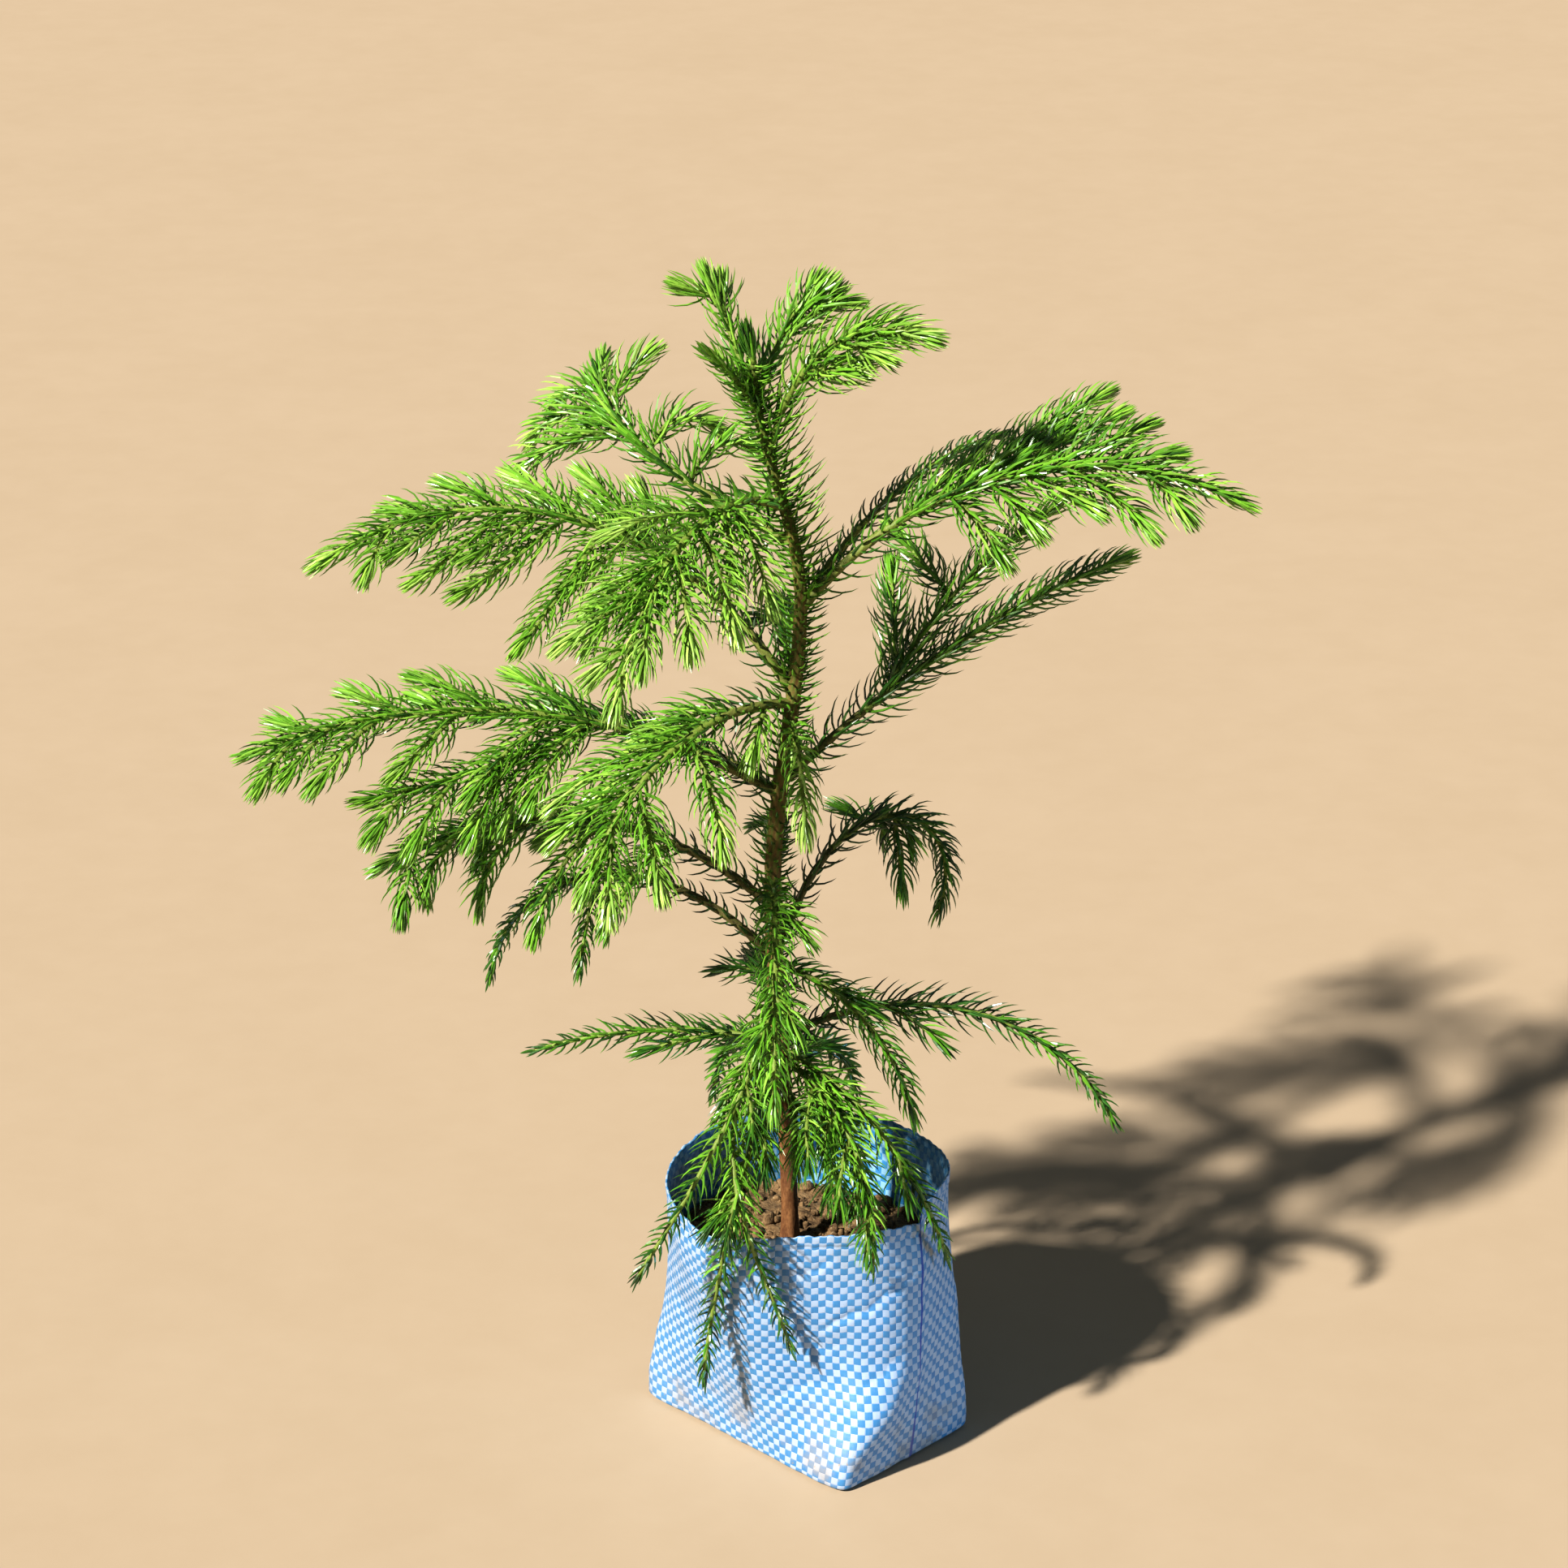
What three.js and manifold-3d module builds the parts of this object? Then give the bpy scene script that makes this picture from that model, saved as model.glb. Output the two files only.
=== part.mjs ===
// A young araucaria in a woven grow bag: bag, soil, trunk, boughs and sprays of needled twigs.
// Millimetres, +Z up. The origin is on the ground, in the middle of the bag's flat underside.
// A bearing is in degrees seen from above, 0 along +X and 90 along +Y. A rise is degrees above level.

import * as THREE from 'three';
import Module from 'manifold-3d';

const wasm = await Module();
wasm.setup();

// Driving dimensions

const gap = 0.3; // between a piece and what carries it
const stride = 3; // between the points that a stem's path is worked out at

const bag = {
  rimHeight: 111,
  rimWave: 1.6, // the rim rises and falls this much, three times round
  rimRadius: 57,
  baseHalfLength: 59,
  baseHalfWidth: 39.5,
  baseSquareness: 9, // 2 is an ellipse, more is nearer a rectangle
  turn: -44, // bearing of the base's long side
  belly: 1.5, // how far the soil pushes the walls out
  wall: 0.8,
  sides: 32,
  rings: [0, 0.18, 0.36, 0.54, 0.7, 0.85, 1], // heights of its rings, as shares of the rim's
  soilRing: 4, // the ring that the soil's edge lies against
  margin: 1.5, // twigs and needles keep this clear of it
};

const soil = {
  level: 81, // at the trunk's foot
  flat: 0.3, // level as far out as this, from the middle to the wall
  shoulder: 0.7, // and lumpy as far as this
  lumps: 3,
};

const trunk = {
  // Where the stem turns, as it sways on its way up.
  bends: [
    { x: -6, y: -3, z: soil.level + gap },
    { x: -13, y: 0, z: 240 },
    { x: -2, y: 2, z: 363 },
    { x: -20, y: 0, z: 458 },
  ],
  footRadius: 3.8,
  tipRadius: 1.3,
  taperPower: 2.2,
  flare: 0.9, // root flare, added at the soil
  flareHeight: 7,
  sides: 6,
  step: 13,
  lowestNeedle: 140, // bare below this height
  needles: { least: 0.25, most: 0.75 }, // share of its faces that carry one, low down and at the top
  cap: 0.5, // blunt top, under the leader
};

const needle = {
  length: 12.5,
  tipLength: 9, // shorter near the end of a shoot
  spread: 50, // degrees from the shoot
  foot: 2.6, // width along the shoot where it stands
  extra: 0.25, // share of the spare faces that carry one more needle
  thickness: 0.8,
  bareRoot: 5, // a shoot's first stretch has none
};

const shoot = {
  step: 17, // from one whorl of needles to the next
  sides: 3,
  twist: 34, // degrees a step
  stemTip: 0.75,
  twigRadius: 1.05,
  twigTip: 0.6,
  bud: 5, // pointed end
  splay: 50, // twigs set out at this angle to their bough
  closeIn: 22, // and swing back towards its line by this
  jitter: 9,
  firstTwig: 0.1, // along the spray
  lastTwig: 0.9,
  shortest: 14,
  stagger: 0.22, // so that left and right twigs don't pair off
  lift: { least: -3, most: 7 }, // degrees added to a twig's rise
  fullness: { first: 0.42, last: 0.93 }, // twigs are longest at 0.5 of this
};

const spare = 0.7; // between twigs and needles of different pieces

// Each row is one bough. Height is where it leaves the trunk, droop is how far its rise falls along it,
// and swerve turns its bearing. Limb is its woody stretch, which ends where the spray begins, and 0 where
// the spray starts at the trunk. Left and right count its twigs, seen from the trunk, hang is the twigs'
// own droop, and tilt lifts the left ones and lowers the right. First and last, where given, are the
// stretch of the spray that bears twigs.
const boughs = [
  // Lowest tier, hanging over the rim of the bag
  { name: 'low_left', height: 196, bearing: 246, rise: -18, droop: 70, swerve: -40, length: 138,
    radius: 1.5, limb: 0, left: 1, right: 2, twig: 28, hang: 30, seed: 1 },
  { name: 'low_front_left', height: 170, bearing: 250, rise: -24, droop: 64, swerve: -8, length: 152,
    radius: 1.5, limb: 0, left: 2, right: 1, twig: 30, hang: 30, seed: 2 },
  { name: 'low_front', height: 174, bearing: 238, rise: -18, droop: 70, swerve: 88, length: 136,
    radius: 1.5, limb: 0, left: 2, right: 1, twig: 28, hang: 30, seed: 3 },
  { name: 'low_right', height: 169, bearing: 327, rise: -5, droop: 75, swerve: -2, length: 120,
    radius: 1.5, limb: 0, left: 2, right: 1, twig: 28, hang: 30, seed: 4 },
  { name: 'low_front_right', height: 165, bearing: 302, rise: -4, droop: 78, swerve: -4, length: 106,
    radius: 1.5, limb: 0, left: 1, right: 2, twig: 28, hang: 30, seed: 5 },
  { name: 'low_inner', height: 152, bearing: 318, rise: -30, droop: 45, swerve: 0, length: 58,
    radius: 1.2, limb: 0, left: 0, right: 0, twig: 20, hang: 30, seed: 6 },
  { name: 'low_back', height: 160, bearing: 66, rise: 6, droop: 76, swerve: 0, length: 98,
    radius: 1.4, limb: 0, left: 1, right: 1, twig: 28, hang: 30, seed: 7 },
  { name: 'low_back_left', height: 165, bearing: 130, rise: 6, droop: 76, swerve: 0, length: 104,
    radius: 1.4, limb: 0, left: 1, right: 1, twig: 28, hang: 30, seed: 8 },

  // Second tier
  { name: 'second_left', height: 176, bearing: 168, rise: 8, droop: 36, swerve: 4, length: 103,
    radius: 1.4, limb: 0, left: 1, right: 0, twig: 40, hang: 20, seed: 9 },
  { name: 'second_front_right', height: 205, bearing: 318, rise: 14, droop: 100, swerve: 6, length: 92,
    radius: 1.4, limb: 0, left: 1, right: 1, twig: 24, hang: 40, seed: 10 },
  { name: 'second_right', height: 178, bearing: 4, rise: 28, droop: 94, swerve: -4, length: 164,
    radius: 1.5, limb: 36, left: 0, right: 1, twig: 40, hang: 40, seed: 11 },
  { name: 'second_back', height: 184, bearing: 98, rise: 20, droop: 70, swerve: 0, length: 96,
    radius: 1.4, limb: 0, left: 1, right: 1, twig: 30, hang: 40, seed: 12 },

  // Third tier
  { name: 'third_left', height: 208, bearing: 166, rise: 46, droop: 118, swerve: 0, length: 152,
    radius: 1.7, limb: 44, left: 1, right: 2, twig: 48, hang: 50, seed: 13 },
  { name: 'third_far_left', height: 240, bearing: 180, rise: 42, droop: 78, swerve: 0, length: 170,
    radius: 1.8, limb: 46, left: 4, right: 3, twig: 48, hang: 50, seed: 14 },
  { name: 'third_back_right', height: 235, bearing: 65, rise: 60, droop: 158, swerve: -68, length: 134,
    radius: 1.6, limb: 38, left: 1, right: 1, twig: 40, hang: 60, seed: 15 },
  { name: 'third_front', height: 243, bearing: 272, rise: 10, droop: 82, swerve: -4, length: 120,
    radius: 1.5, limb: 0, left: 2, right: 2, twig: 26, hang: 40, seed: 16 },
  { name: 'third_back', height: 248, bearing: 98, rise: 24, droop: 66, swerve: 0, length: 106,
    radius: 1.4, limb: 0, left: 1, right: 1, twig: 22, hang: 40, seed: 31 },

  // Fourth tier
  { name: 'fourth_left', height: 280, bearing: 186, rise: 36, droop: 60, swerve: 2, length: 220,
    radius: 1.9, limb: 52, left: 4, right: 3, twig: 54, hang: 36, seed: 17 },
  { name: 'fourth_front_left', height: 319, bearing: 218, rise: 16, droop: 74, swerve: 16, length: 132,
    radius: 1.9, limb: 36, left: 4, right: 4, twig: 52, hang: 30, tilt: -10, seed: 18 },
  { name: 'fourth_front', height: 312, bearing: 278, rise: 4, droop: 82, swerve: 0, length: 58,
    radius: 1.2, limb: 0, left: 0, right: 0, twig: 20, hang: 40, seed: 19 },
  { name: 'fourth_right', height: 288, bearing: 30, rise: 33, droop: 22, swerve: 2, length: 182,
    radius: 1.8, limb: 44, left: 2, right: 0, twig: 76, hang: 0, tilt: 8, last: 0.3, seed: 20 },
  { name: 'fourth_back', height: 324, bearing: 94, rise: 26, droop: 64, swerve: 0, length: 116,
    radius: 1.4, limb: 0, left: 1, right: 1, twig: 22, hang: 40, seed: 32 },
  { name: 'fourth_back_left', height: 295, bearing: 142, rise: 22, droop: 48, swerve: 6, length: 160,
    radius: 1.7, limb: 42, left: 2, right: 3, twig: 44, hang: 40, seed: 33 },

  // Fifth tier
  { name: 'fifth_right', height: 364, bearing: 4, rise: 48, droop: 76, swerve: 0, length: 188,
    radius: 1.9, limb: 42, left: 4, right: 4, twig: 58, hang: 14, tilt: 17, last: 0.8, seed: 21 },
  { name: 'fifth_left', height: 335, bearing: 163, rise: 57, droop: 90, swerve: 32, length: 214,
    radius: 1.9, limb: 56, left: 4, right: 3, twig: 56, hang: 36, seed: 22 },
  { name: 'fifth_front_left', height: 401, bearing: 238, rise: 30, droop: 92, swerve: 12, length: 162,
    radius: 1.9, limb: 38, left: 4, right: 4, twig: 50, hang: 26, tilt: -10, seed: 23 },
  { name: 'fifth_back_left', height: 392, bearing: 165, rise: 30, droop: 30, swerve: -85, length: 150,
    radius: 1.8, limb: 46, left: 2, right: 3, twig: 48, hang: 30, tilt: -12, seed: 24 },
  { name: 'fifth_back_right', height: 373, bearing: 44, rise: 34, droop: 44, swerve: 0, length: 122,
    radius: 1.6, limb: 38, left: 2, right: 0, twig: 38, hang: 20, seed: 34 },

  // Top tier, young shoots round the leader
  { name: 'top_left', height: 435, bearing: 132, rise: 66, droop: 14, swerve: 0, length: 62,
    radius: 1.3, limb: 0, left: 1, right: 1, twig: 24, hang: -10, first: 0.6, seed: 25 },
  { name: 'top_back', height: 446, bearing: 62, rise: 50, droop: 22, swerve: 0, length: 60,
    radius: 1.3, limb: 0, left: 2, right: 1, twig: 26, hang: -10, first: 0.4, seed: 26 },
  { name: 'top_right', height: 444, bearing: 336, rise: 66, droop: 78, swerve: 0, length: 84,
    radius: 1.3, limb: 0, left: 1, right: 2, twig: 26, hang: 20, first: 0.4, seed: 27 },
  { name: 'top_front_left', height: 438, bearing: 216, rise: 64, droop: 24, swerve: 0, length: 40,
    radius: 1.2, limb: 0, left: 1, right: 0, twig: 18, hang: 10, seed: 28 },
];

const limbSides = 5;

const leader = { length: 15, radius: 1.2, sides: 5, step: 6, bearing: 180, rise: 80, seed: 29 };

const finishes = {
  bag: { color: 0x4f7fc4, roughness: 0.55 },
  soil: { color: 0x5d4630, roughness: 0.95 },
  bark: { color: 0x6b4a2c, roughness: 0.85 },
  limb: { color: 0x4f5a2a, roughness: 0.7 },
  foliage: { color: 0x4f9a2e, roughness: 0.45 },
};

// Small sums

const radians = THREE.MathUtils.degToRad;
const mix = THREE.MathUtils.lerp;

// A number from 0 to 1 that a seed always gives again.
function chance(seed) {
  const wave = Math.sin(seed * 127.1 + 311.7) * 43758.5453;
  return wave - Math.floor(wave);
}

function heading(bearing, rise) {
  const level = Math.cos(radians(rise));
  const x = level * Math.cos(radians(bearing));
  const y = level * Math.sin(radians(bearing));
  return new THREE.Vector3(x, y, Math.sin(radians(rise)));
}

function bearingOf(point) {
  return THREE.MathUtils.radToDeg(Math.atan2(point.y, point.x));
}

// Closed solids from rings of points

class Skin {
  constructor() {
    this.points = [];
    this.faces = [];
  }

  add(point) {
    this.points.push(point);
    return this.points.length - 1;
  }

  face(a, b, c) {
    this.faces.push(a, b, c);
  }

  ring(points) {
    return points.map((point) => this.add(point));
  }

  // Two triangles for each side of a band, each handed to a function that closes it.
  band(lower, upper, close) {
    lower.forEach((corner, side) => {
      const next = (side + 1) % lower.length;
      close([corner, lower[next], upper[side]], side, 0);
      close([lower[next], upper[next], upper[side]], side, 1);
    });
  }

  plainBand(lower, upper) {
    this.band(lower, upper, (corners) => this.face(...corners));
  }

  // Closes a ring with a fan to one point, facing back or forward along the rings.
  fan(ring, point, forward) {
    const middle = this.add(point);
    ring.forEach((corner, side) => {
      const next = ring[(side + 1) % ring.length];
      if (forward) {
        this.face(corner, next, middle);
      } else {
        this.face(next, corner, middle);
      }
    });
  }

  solid() {
    const vertProperties = new Float32Array(this.points.flatMap((point) => point.toArray()));
    const triVerts = new Uint32Array(this.faces);
    return new wasm.Manifold(new wasm.Mesh({ numProp: 3, vertProperties, triVerts }));
  }
}

function loft(rings) {
  const skin = new Skin();
  const made = rings.map((points) => skin.ring(points));
  for (let i = 1; i < made.length; i += 1) {
    skin.plainBand(made[i - 1], made[i]);
  }
  skin.fan(made[0], centreOf(rings[0]), false);
  skin.fan(made[made.length - 1], centreOf(rings[rings.length - 1]), true);
  return skin.solid();
}

function centreOf(points) {
  const sum = points.reduce((total, point) => total.add(point), new THREE.Vector3());
  return sum.divideScalar(points.length);
}

// Of a solid that a cut left in pieces, the largest.
function largestPiece(solid) {
  const pieces = solid.decompose();
  return pieces.reduce((best, piece) => (piece.volume() > best.volume() ? piece : best));
}

// The bag and its soil

function rimHeight(bearing) {
  return bag.rimHeight + bag.rimWave * Math.sin(radians(3 * bearing));
}

// The bag's outside from the middle, from 0 at the base to 1 at the rim.
function bagRadius(bearing, up) {
  const angle = radians(bearing - bag.turn);
  const along = Math.abs(Math.cos(angle)) / bag.baseHalfLength;
  const across = Math.abs(Math.sin(angle)) / bag.baseHalfWidth;
  const base = (along ** bag.baseSquareness + across ** bag.baseSquareness) ** (-1 / bag.baseSquareness);
  return mix(base, bag.rimRadius, THREE.MathUtils.smoothstep(up, 0, 1)) + bag.belly * Math.sin(Math.PI * up);
}

function bagRing(up, inset, lift) {
  const points = [];
  for (let side = 0; side < bag.sides; side += 1) {
    const bearing = (360 * side) / bag.sides;
    const radius = bagRadius(bearing, up) - inset;
    const point = heading(bearing, 0).multiplyScalar(radius);
    point.z = up * rimHeight(bearing) + lift;
    points.push(point);
  }
  return points;
}

function makeBag() {
  const outside = bag.rings.map((up) => bagRing(up, 0, 0));
  const inside = bag.rings.map((up) => bagRing(up, bag.wall, up === 0 ? bag.wall : 0));
  const mouth = bagRing(1, bag.wall, bag.wall);
  return loft(outside).subtract(loft([...inside, mouth]));
}

// From 0 at the trunk's foot to 1 at the bag's wall.
function soilHeight(bearing, out) {
  const edge = bag.rings[bag.soilRing] * rimHeight(bearing);
  const lump = Math.sin(radians(5 * bearing)) * Math.cos(radians(3 * bearing + 200 * out));
  const sides = mix(soil.level, edge, (out - soil.flat) / (1 - soil.flat));
  return out > soil.flat ? sides + soil.lumps * (1 - out) * lump : soil.level;
}

function makeSoil() {
  const inset = bag.wall + gap;
  const walls = bag.rings.slice(0, bag.soilRing + 1);
  const wallRings = walls.map((up) => bagRing(up, inset, up === 0 ? inset : 0));
  const edge = wallRings[bag.soilRing];
  const topRings = [soil.shoulder, soil.flat].map((out) => edge.map((point) => {
    const place = point.clone().multiplyScalar(out);
    return place.setZ(soilHeight(bearingOf(point), out));
  }));
  return loft([...wallRings, ...topRings]);
}

function clearOfBag(point) {
  const { margin } = bag;
  const bearing = bearingOf(point);
  const rim = rimHeight(bearing);
  if (point.z > rim + margin) {
    return true;
  }
  const radius = Math.hypot(point.x, point.y);
  const wall = bagRadius(bearing, Math.max(point.z, 0) / rim);
  const inside = radius < wall - bag.wall - margin && point.z > soil.level + soil.lumps + margin;
  return inside || radius > wall + margin;
}

// Room: the stretches that stems and needles take, so that neighbours keep clear of each other

const room = [];

function stretchOf(a, b, radius, node) {
  const middle = a.clone().add(b).multiplyScalar(0.5);
  return { a, b, radius, node, middle, half: a.distanceTo(b) / 2 };
}

function distanceBetween(first, second) {
  const d1 = first.b.clone().sub(first.a);
  const d2 = second.b.clone().sub(second.a);
  const apart = first.a.clone().sub(second.a);
  const a = d1.dot(d1);
  const e = d2.dot(d2);
  const b = d1.dot(d2);
  const c = d1.dot(apart);
  const f = d2.dot(apart);
  const spread = a * e - b * b;
  const clamp = (value) => THREE.MathUtils.clamp(value, 0, 1);
  let s = spread > 1e-9 ? clamp((b * f - c * e) / spread) : 0;
  const t = clamp((b * s + f) / e);
  s = clamp((b * t - c) / a);
  const onFirst = first.a.clone().addScaledVector(d1, s);
  const onSecond = second.a.clone().addScaledVector(d2, t);
  return onFirst.distanceTo(onSecond);
}

function isFree(stretch) {
  return room.every((other) => {
    if (other.node === stretch.node) {
      return true;
    }
    const reach = stretch.radius + other.radius + spare;
    if (other.middle.distanceTo(stretch.middle) > other.half + stretch.half + reach) {
      return true;
    }
    return distanceBetween(stretch, other) > reach;
  });
}

function takeRoom(points, radiusAt, node) {
  for (let i = 1; i < points.length; i += 1) {
    room.push(stretchOf(points[i - 1], points[i], radiusAt((i - 0.5) / (points.length - 1)), node));
  }
}

// Stems

// Points along a limb that sets out at a bearing and a rise, which then change evenly.
function growPath(start, limb) {
  const steps = Math.ceil(limb.length / stride);
  const points = [start.clone()];
  for (let i = 0; i < steps; i += 1) {
    const along = (i + 0.5) / steps;
    const way = heading(limb.bearing + limb.swerve * along, limb.rise - limb.droop * along);
    points.push(points[i].clone().addScaledVector(way, limb.length / steps));
  }
  return points;
}

function pointAlong(points, along) {
  const place = THREE.MathUtils.clamp(along, 0, 1) * (points.length - 1);
  const index = Math.min(Math.floor(place), points.length - 2);
  return points[index].clone().lerp(points[index + 1], place - index);
}

// Frames spaced evenly along a stretch of a path, carried along it without turning.
function framesAlong(path, from, to, count) {
  const nudge = 0.5 / (path.length - 1);
  const frames = [];
  let side = null;
  for (let i = 0; i <= count; i += 1) {
    const along = mix(from, to, i / count);
    const forward = pointAlong(path, along + nudge).sub(pointAlong(path, along - nudge)).normalize();
    if (!side) {
      const upright = Math.abs(forward.z) > 0.9;
      const reference = upright ? new THREE.Vector3(1, 0, 0) : new THREE.Vector3(0, 0, 1);
      side = reference.cross(forward);
    }
    side = side.clone().addScaledVector(forward, -side.dot(forward)).normalize();
    frames.push({ point: pointAlong(path, along), forward, side, over: forward.clone().cross(side) });
  }
  return frames;
}

function stepsIn(length, step) {
  return Math.max(2, Math.round(length / step));
}

function ringAround(frame, radius, sides, turn) {
  return Array.from({ length: sides }, (_, i) => {
    const angle = radians((360 * i) / sides + turn);
    const out = frame.side.clone().multiplyScalar(Math.cos(angle));
    out.addScaledVector(frame.over, Math.sin(angle));
    return frame.point.clone().addScaledVector(out, radius);
  });
}

function plainStem(frames, radiusAt, sides) {
  const last = frames.length - 1;
  return loft(frames.map((frame, i) => ringAround(frame, radiusAt(i / last), sides, 0)));
}

// A stem with a narrow band at each step, whose faces are drawn out into needles where there is room.
function needledStem(frames, radiusAt, style) {
  const { node, sides, twist, needles, bud, seed } = style;
  const last = frames.length - 1;
  const skin = new Skin();
  let below = null;
  frames.forEach((frame, i) => {
    const along = i / last;
    const lower = ringAround(frame, radiusAt(along), sides, twist * i);
    const upper = lower.map((point) => point.clone().addScaledVector(frame.forward, needle.foot));
    const [lowerRing, upperRing] = [skin.ring(lower), skin.ring(upper)];
    if (below) {
      skin.plainBand(below, lowerRing);
    } else {
      skin.fan(lowerRing, frame.point, false);
    }
    skin.band(lowerRing, upperRing, (corners, side, half) => {
      const draw = chance(seed + i * 7.3 + side * 1.7 + half * 0.9);
      const wanted = draw < needles(along, half);
      const apex = wanted ? needleApex(skin, corners, frame, along, seed + draw, node) : null;
      if (apex === null) {
        skin.face(...corners);
      } else {
        corners.forEach((corner, k) => skin.face(corner, corners[(k + 1) % 3], apex));
      }
    });
    below = upperRing;
  });
  const end = frames[last];
  skin.fan(below, end.point.clone().addScaledVector(end.forward, needle.foot + bud), true);
  return skin.solid();
}

// The tip of a needle that stands on a face, or null where another piece is in its way.
function needleApex(skin, corners, frame, along, seed, node) {
  const foot = centreOf(corners.map((corner) => skin.points[corner]));
  const offset = foot.clone().sub(frame.point);
  const out = offset.addScaledVector(frame.forward, -offset.dot(frame.forward)).normalize();
  const lean = radians(needle.spread);
  const way = out.multiplyScalar(Math.sin(lean)).addScaledVector(frame.forward, Math.cos(lean));
  const length = mix(needle.length, needle.tipLength, along ** 2) * mix(0.85, 1.1, chance(seed));
  const apex = foot.clone().addScaledVector(way, length);
  const stretch = stretchOf(foot, apex, needle.thickness, node);
  if (!isFree(stretch) || !clearOfBag(apex) || !clearOfBag(stretch.middle)) {
    return null;
  }
  room.push(stretch);
  return skin.add(apex);
}

// The trunk

function trunkPoint(z) {
  const upper = Math.max(1, trunk.bends.findIndex((bend) => bend.z >= z));
  const from = trunk.bends[upper - 1];
  const to = trunk.bends[upper];
  const along = THREE.MathUtils.smoothstep(z, from.z, to.z);
  return new THREE.Vector3(mix(from.x, to.x, along), mix(from.y, to.y, along), z);
}

const footHeight = trunk.bends[0].z;
const tipHeight = trunk.bends[trunk.bends.length - 1].z;

function trunkRadius(along) {
  const taper = mix(trunk.footRadius, trunk.tipRadius, along ** trunk.taperPower);
  const aboveSoil = along * (tipHeight - footHeight);
  return taper + trunk.flare * Math.exp(-aboveSoil / trunk.flareHeight);
}

const trunkSteps = stepsIn(tipHeight - footHeight, trunk.step);

const trunkPath = Array.from({ length: trunkSteps + 1 }, (_, i) => {
  return trunkPoint(mix(footHeight, tipHeight, i / trunkSteps));
});

function makeTrunk() {
  const lowest = (trunk.lowestNeedle - footHeight) / (tipHeight - footHeight);
  const share = (along) => mix(trunk.needles.least, trunk.needles.most, along ** 2);
  const needles = (along, half) => (along > lowest && half === 0 ? share(along) : 0);
  const style = { node: 'trunk', sides: trunk.sides, twist: 0, needles, bud: trunk.cap, seed: 50 };
  return needledStem(framesAlong(trunkPath, 0, 1, trunkSteps), trunkRadius, style);
}

// The trunk with a skin of air, which boughs are cut back by.
function makeTrunkClearance() {
  const radiusAt = (along) => trunkRadius(along) + gap / Math.cos(Math.PI / trunk.sides);
  return plainStem(framesAlong(trunkPath, 0, 1, trunkSteps), radiusAt, trunk.sides);
}

// Boughs and their twigs

function twigsOf(bough, path) {
  const twigs = [];
  const begin = bough.limb / bough.length;
  [[1, bough.left], [-1, bough.right]].forEach(([side, count]) => {
    for (let i = 0; i < count; i += 1) {
      const draw = bough.seed * 61 + side * 17 + i * 3;
      const within = (i + 0.5 - side * shoot.stagger) / count;
      const spray = mix(bough.first ?? shoot.firstTwig, bough.last ?? shoot.lastTwig, within);
      const along = mix(begin, 1, spray);
      const wander = (2 * chance(draw) - 1) * shoot.jitter;
      const lift = mix(shoot.lift.least, shoot.lift.most, chance(draw + 1));
      const fullness = Math.sin(Math.PI * mix(shoot.fullness.first, shoot.fullness.last, spray));
      twigs.push({
        start: pointAlong(path, along),
        bearing: bough.bearing + bough.swerve * along + side * (shoot.splay + wander),
        rise: 0.5 * (bough.rise - bough.droop * along) + side * (bough.tilt ?? 0) + lift,
        droop: bough.hang,
        swerve: -side * shoot.closeIn,
        length: bough.twig * fullness * mix(0.85, 1.15, chance(draw + 2)),
        seed: draw,
      });
    }
  });
  return twigs;
}

const rootSteps = 2; // of a path, which lie inside what carries it

// The part of a twig that stays clear of every other piece, and of the bag.
function freeTwig(twig, node) {
  const path = growPath(twig.start, twig);
  let free = path.length;
  for (let i = rootSteps; i < path.length; i += 1) {
    const stretch = stretchOf(path[i - 1], path[i], shoot.twigRadius + spare, node);
    if (!isFree(stretch) || !clearOfBag(path[i])) {
      free = i - 1;
      break;
    }
  }
  const share = (free - 1) / (path.length - 1);
  return { ...twig, path: path.slice(0, Math.max(free, 2)), length: twig.length * share };
}

function stemRadius(bough) {
  return (along) => mix(bough.radius, shoot.stemTip, along);
}

const twigRadius = (along) => mix(shoot.twigRadius, shoot.twigTip, along);

function makeLimb(bough, path) {
  const end = bough.limb / bough.length;
  const frames = framesAlong(path, 0, end, stepsIn(bough.limb, shoot.step));
  return plainStem(frames, (along) => stemRadius(bough)(along * end), limbSides);
}

function needleShare(bareShare) {
  return (along, half) => {
    if (along < bareShare) {
      return 0;
    }
    return half === 0 ? 1 : needle.extra;
  };
}

function makeSpray(bough, path, twigs, node) {
  const begin = bough.limb > 0 ? (bough.limb + gap) / bough.length : 0;
  const frames = framesAlong(path, begin, 1, stepsIn(bough.length * (1 - begin), shoot.step));
  const radiusAt = (along) => stemRadius(bough)(mix(begin, 1, along));
  const bare = bough.limb > 0 ? 0 : (trunk.footRadius + needle.bareRoot) / bough.length;
  const style = { node, sides: shoot.sides, twist: shoot.twist, bud: shoot.bud };
  let solid = needledStem(frames, radiusAt, { ...style, needles: needleShare(bare), seed: bough.seed });
  twigs.forEach((twig) => {
    const twigFrames = framesAlong(twig.path, 0, 1, stepsIn(twig.length, shoot.step));
    const needles = needleShare(needle.bareRoot / twig.length);
    solid = solid.add(needledStem(twigFrames, twigRadius, { ...style, needles, seed: twig.seed }));
  });
  return solid;
}

function makeLeader(node) {
  const start = trunkPoint(tipHeight);
  start.z += needle.foot + trunk.cap + gap;
  const frames = framesAlong(growPath(start, { ...leader, droop: 0, swerve: 0 }), 0, 1,
    stepsIn(leader.length, leader.step));
  const radiusAt = (along) => mix(leader.radius, shoot.twigTip, along);
  const style = { node, sides: leader.sides, twist: shoot.twist, bud: shoot.bud };
  return needledStem(frames, radiusAt, { ...style, needles: needleShare(0), seed: leader.seed });
}

// The assembly

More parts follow.
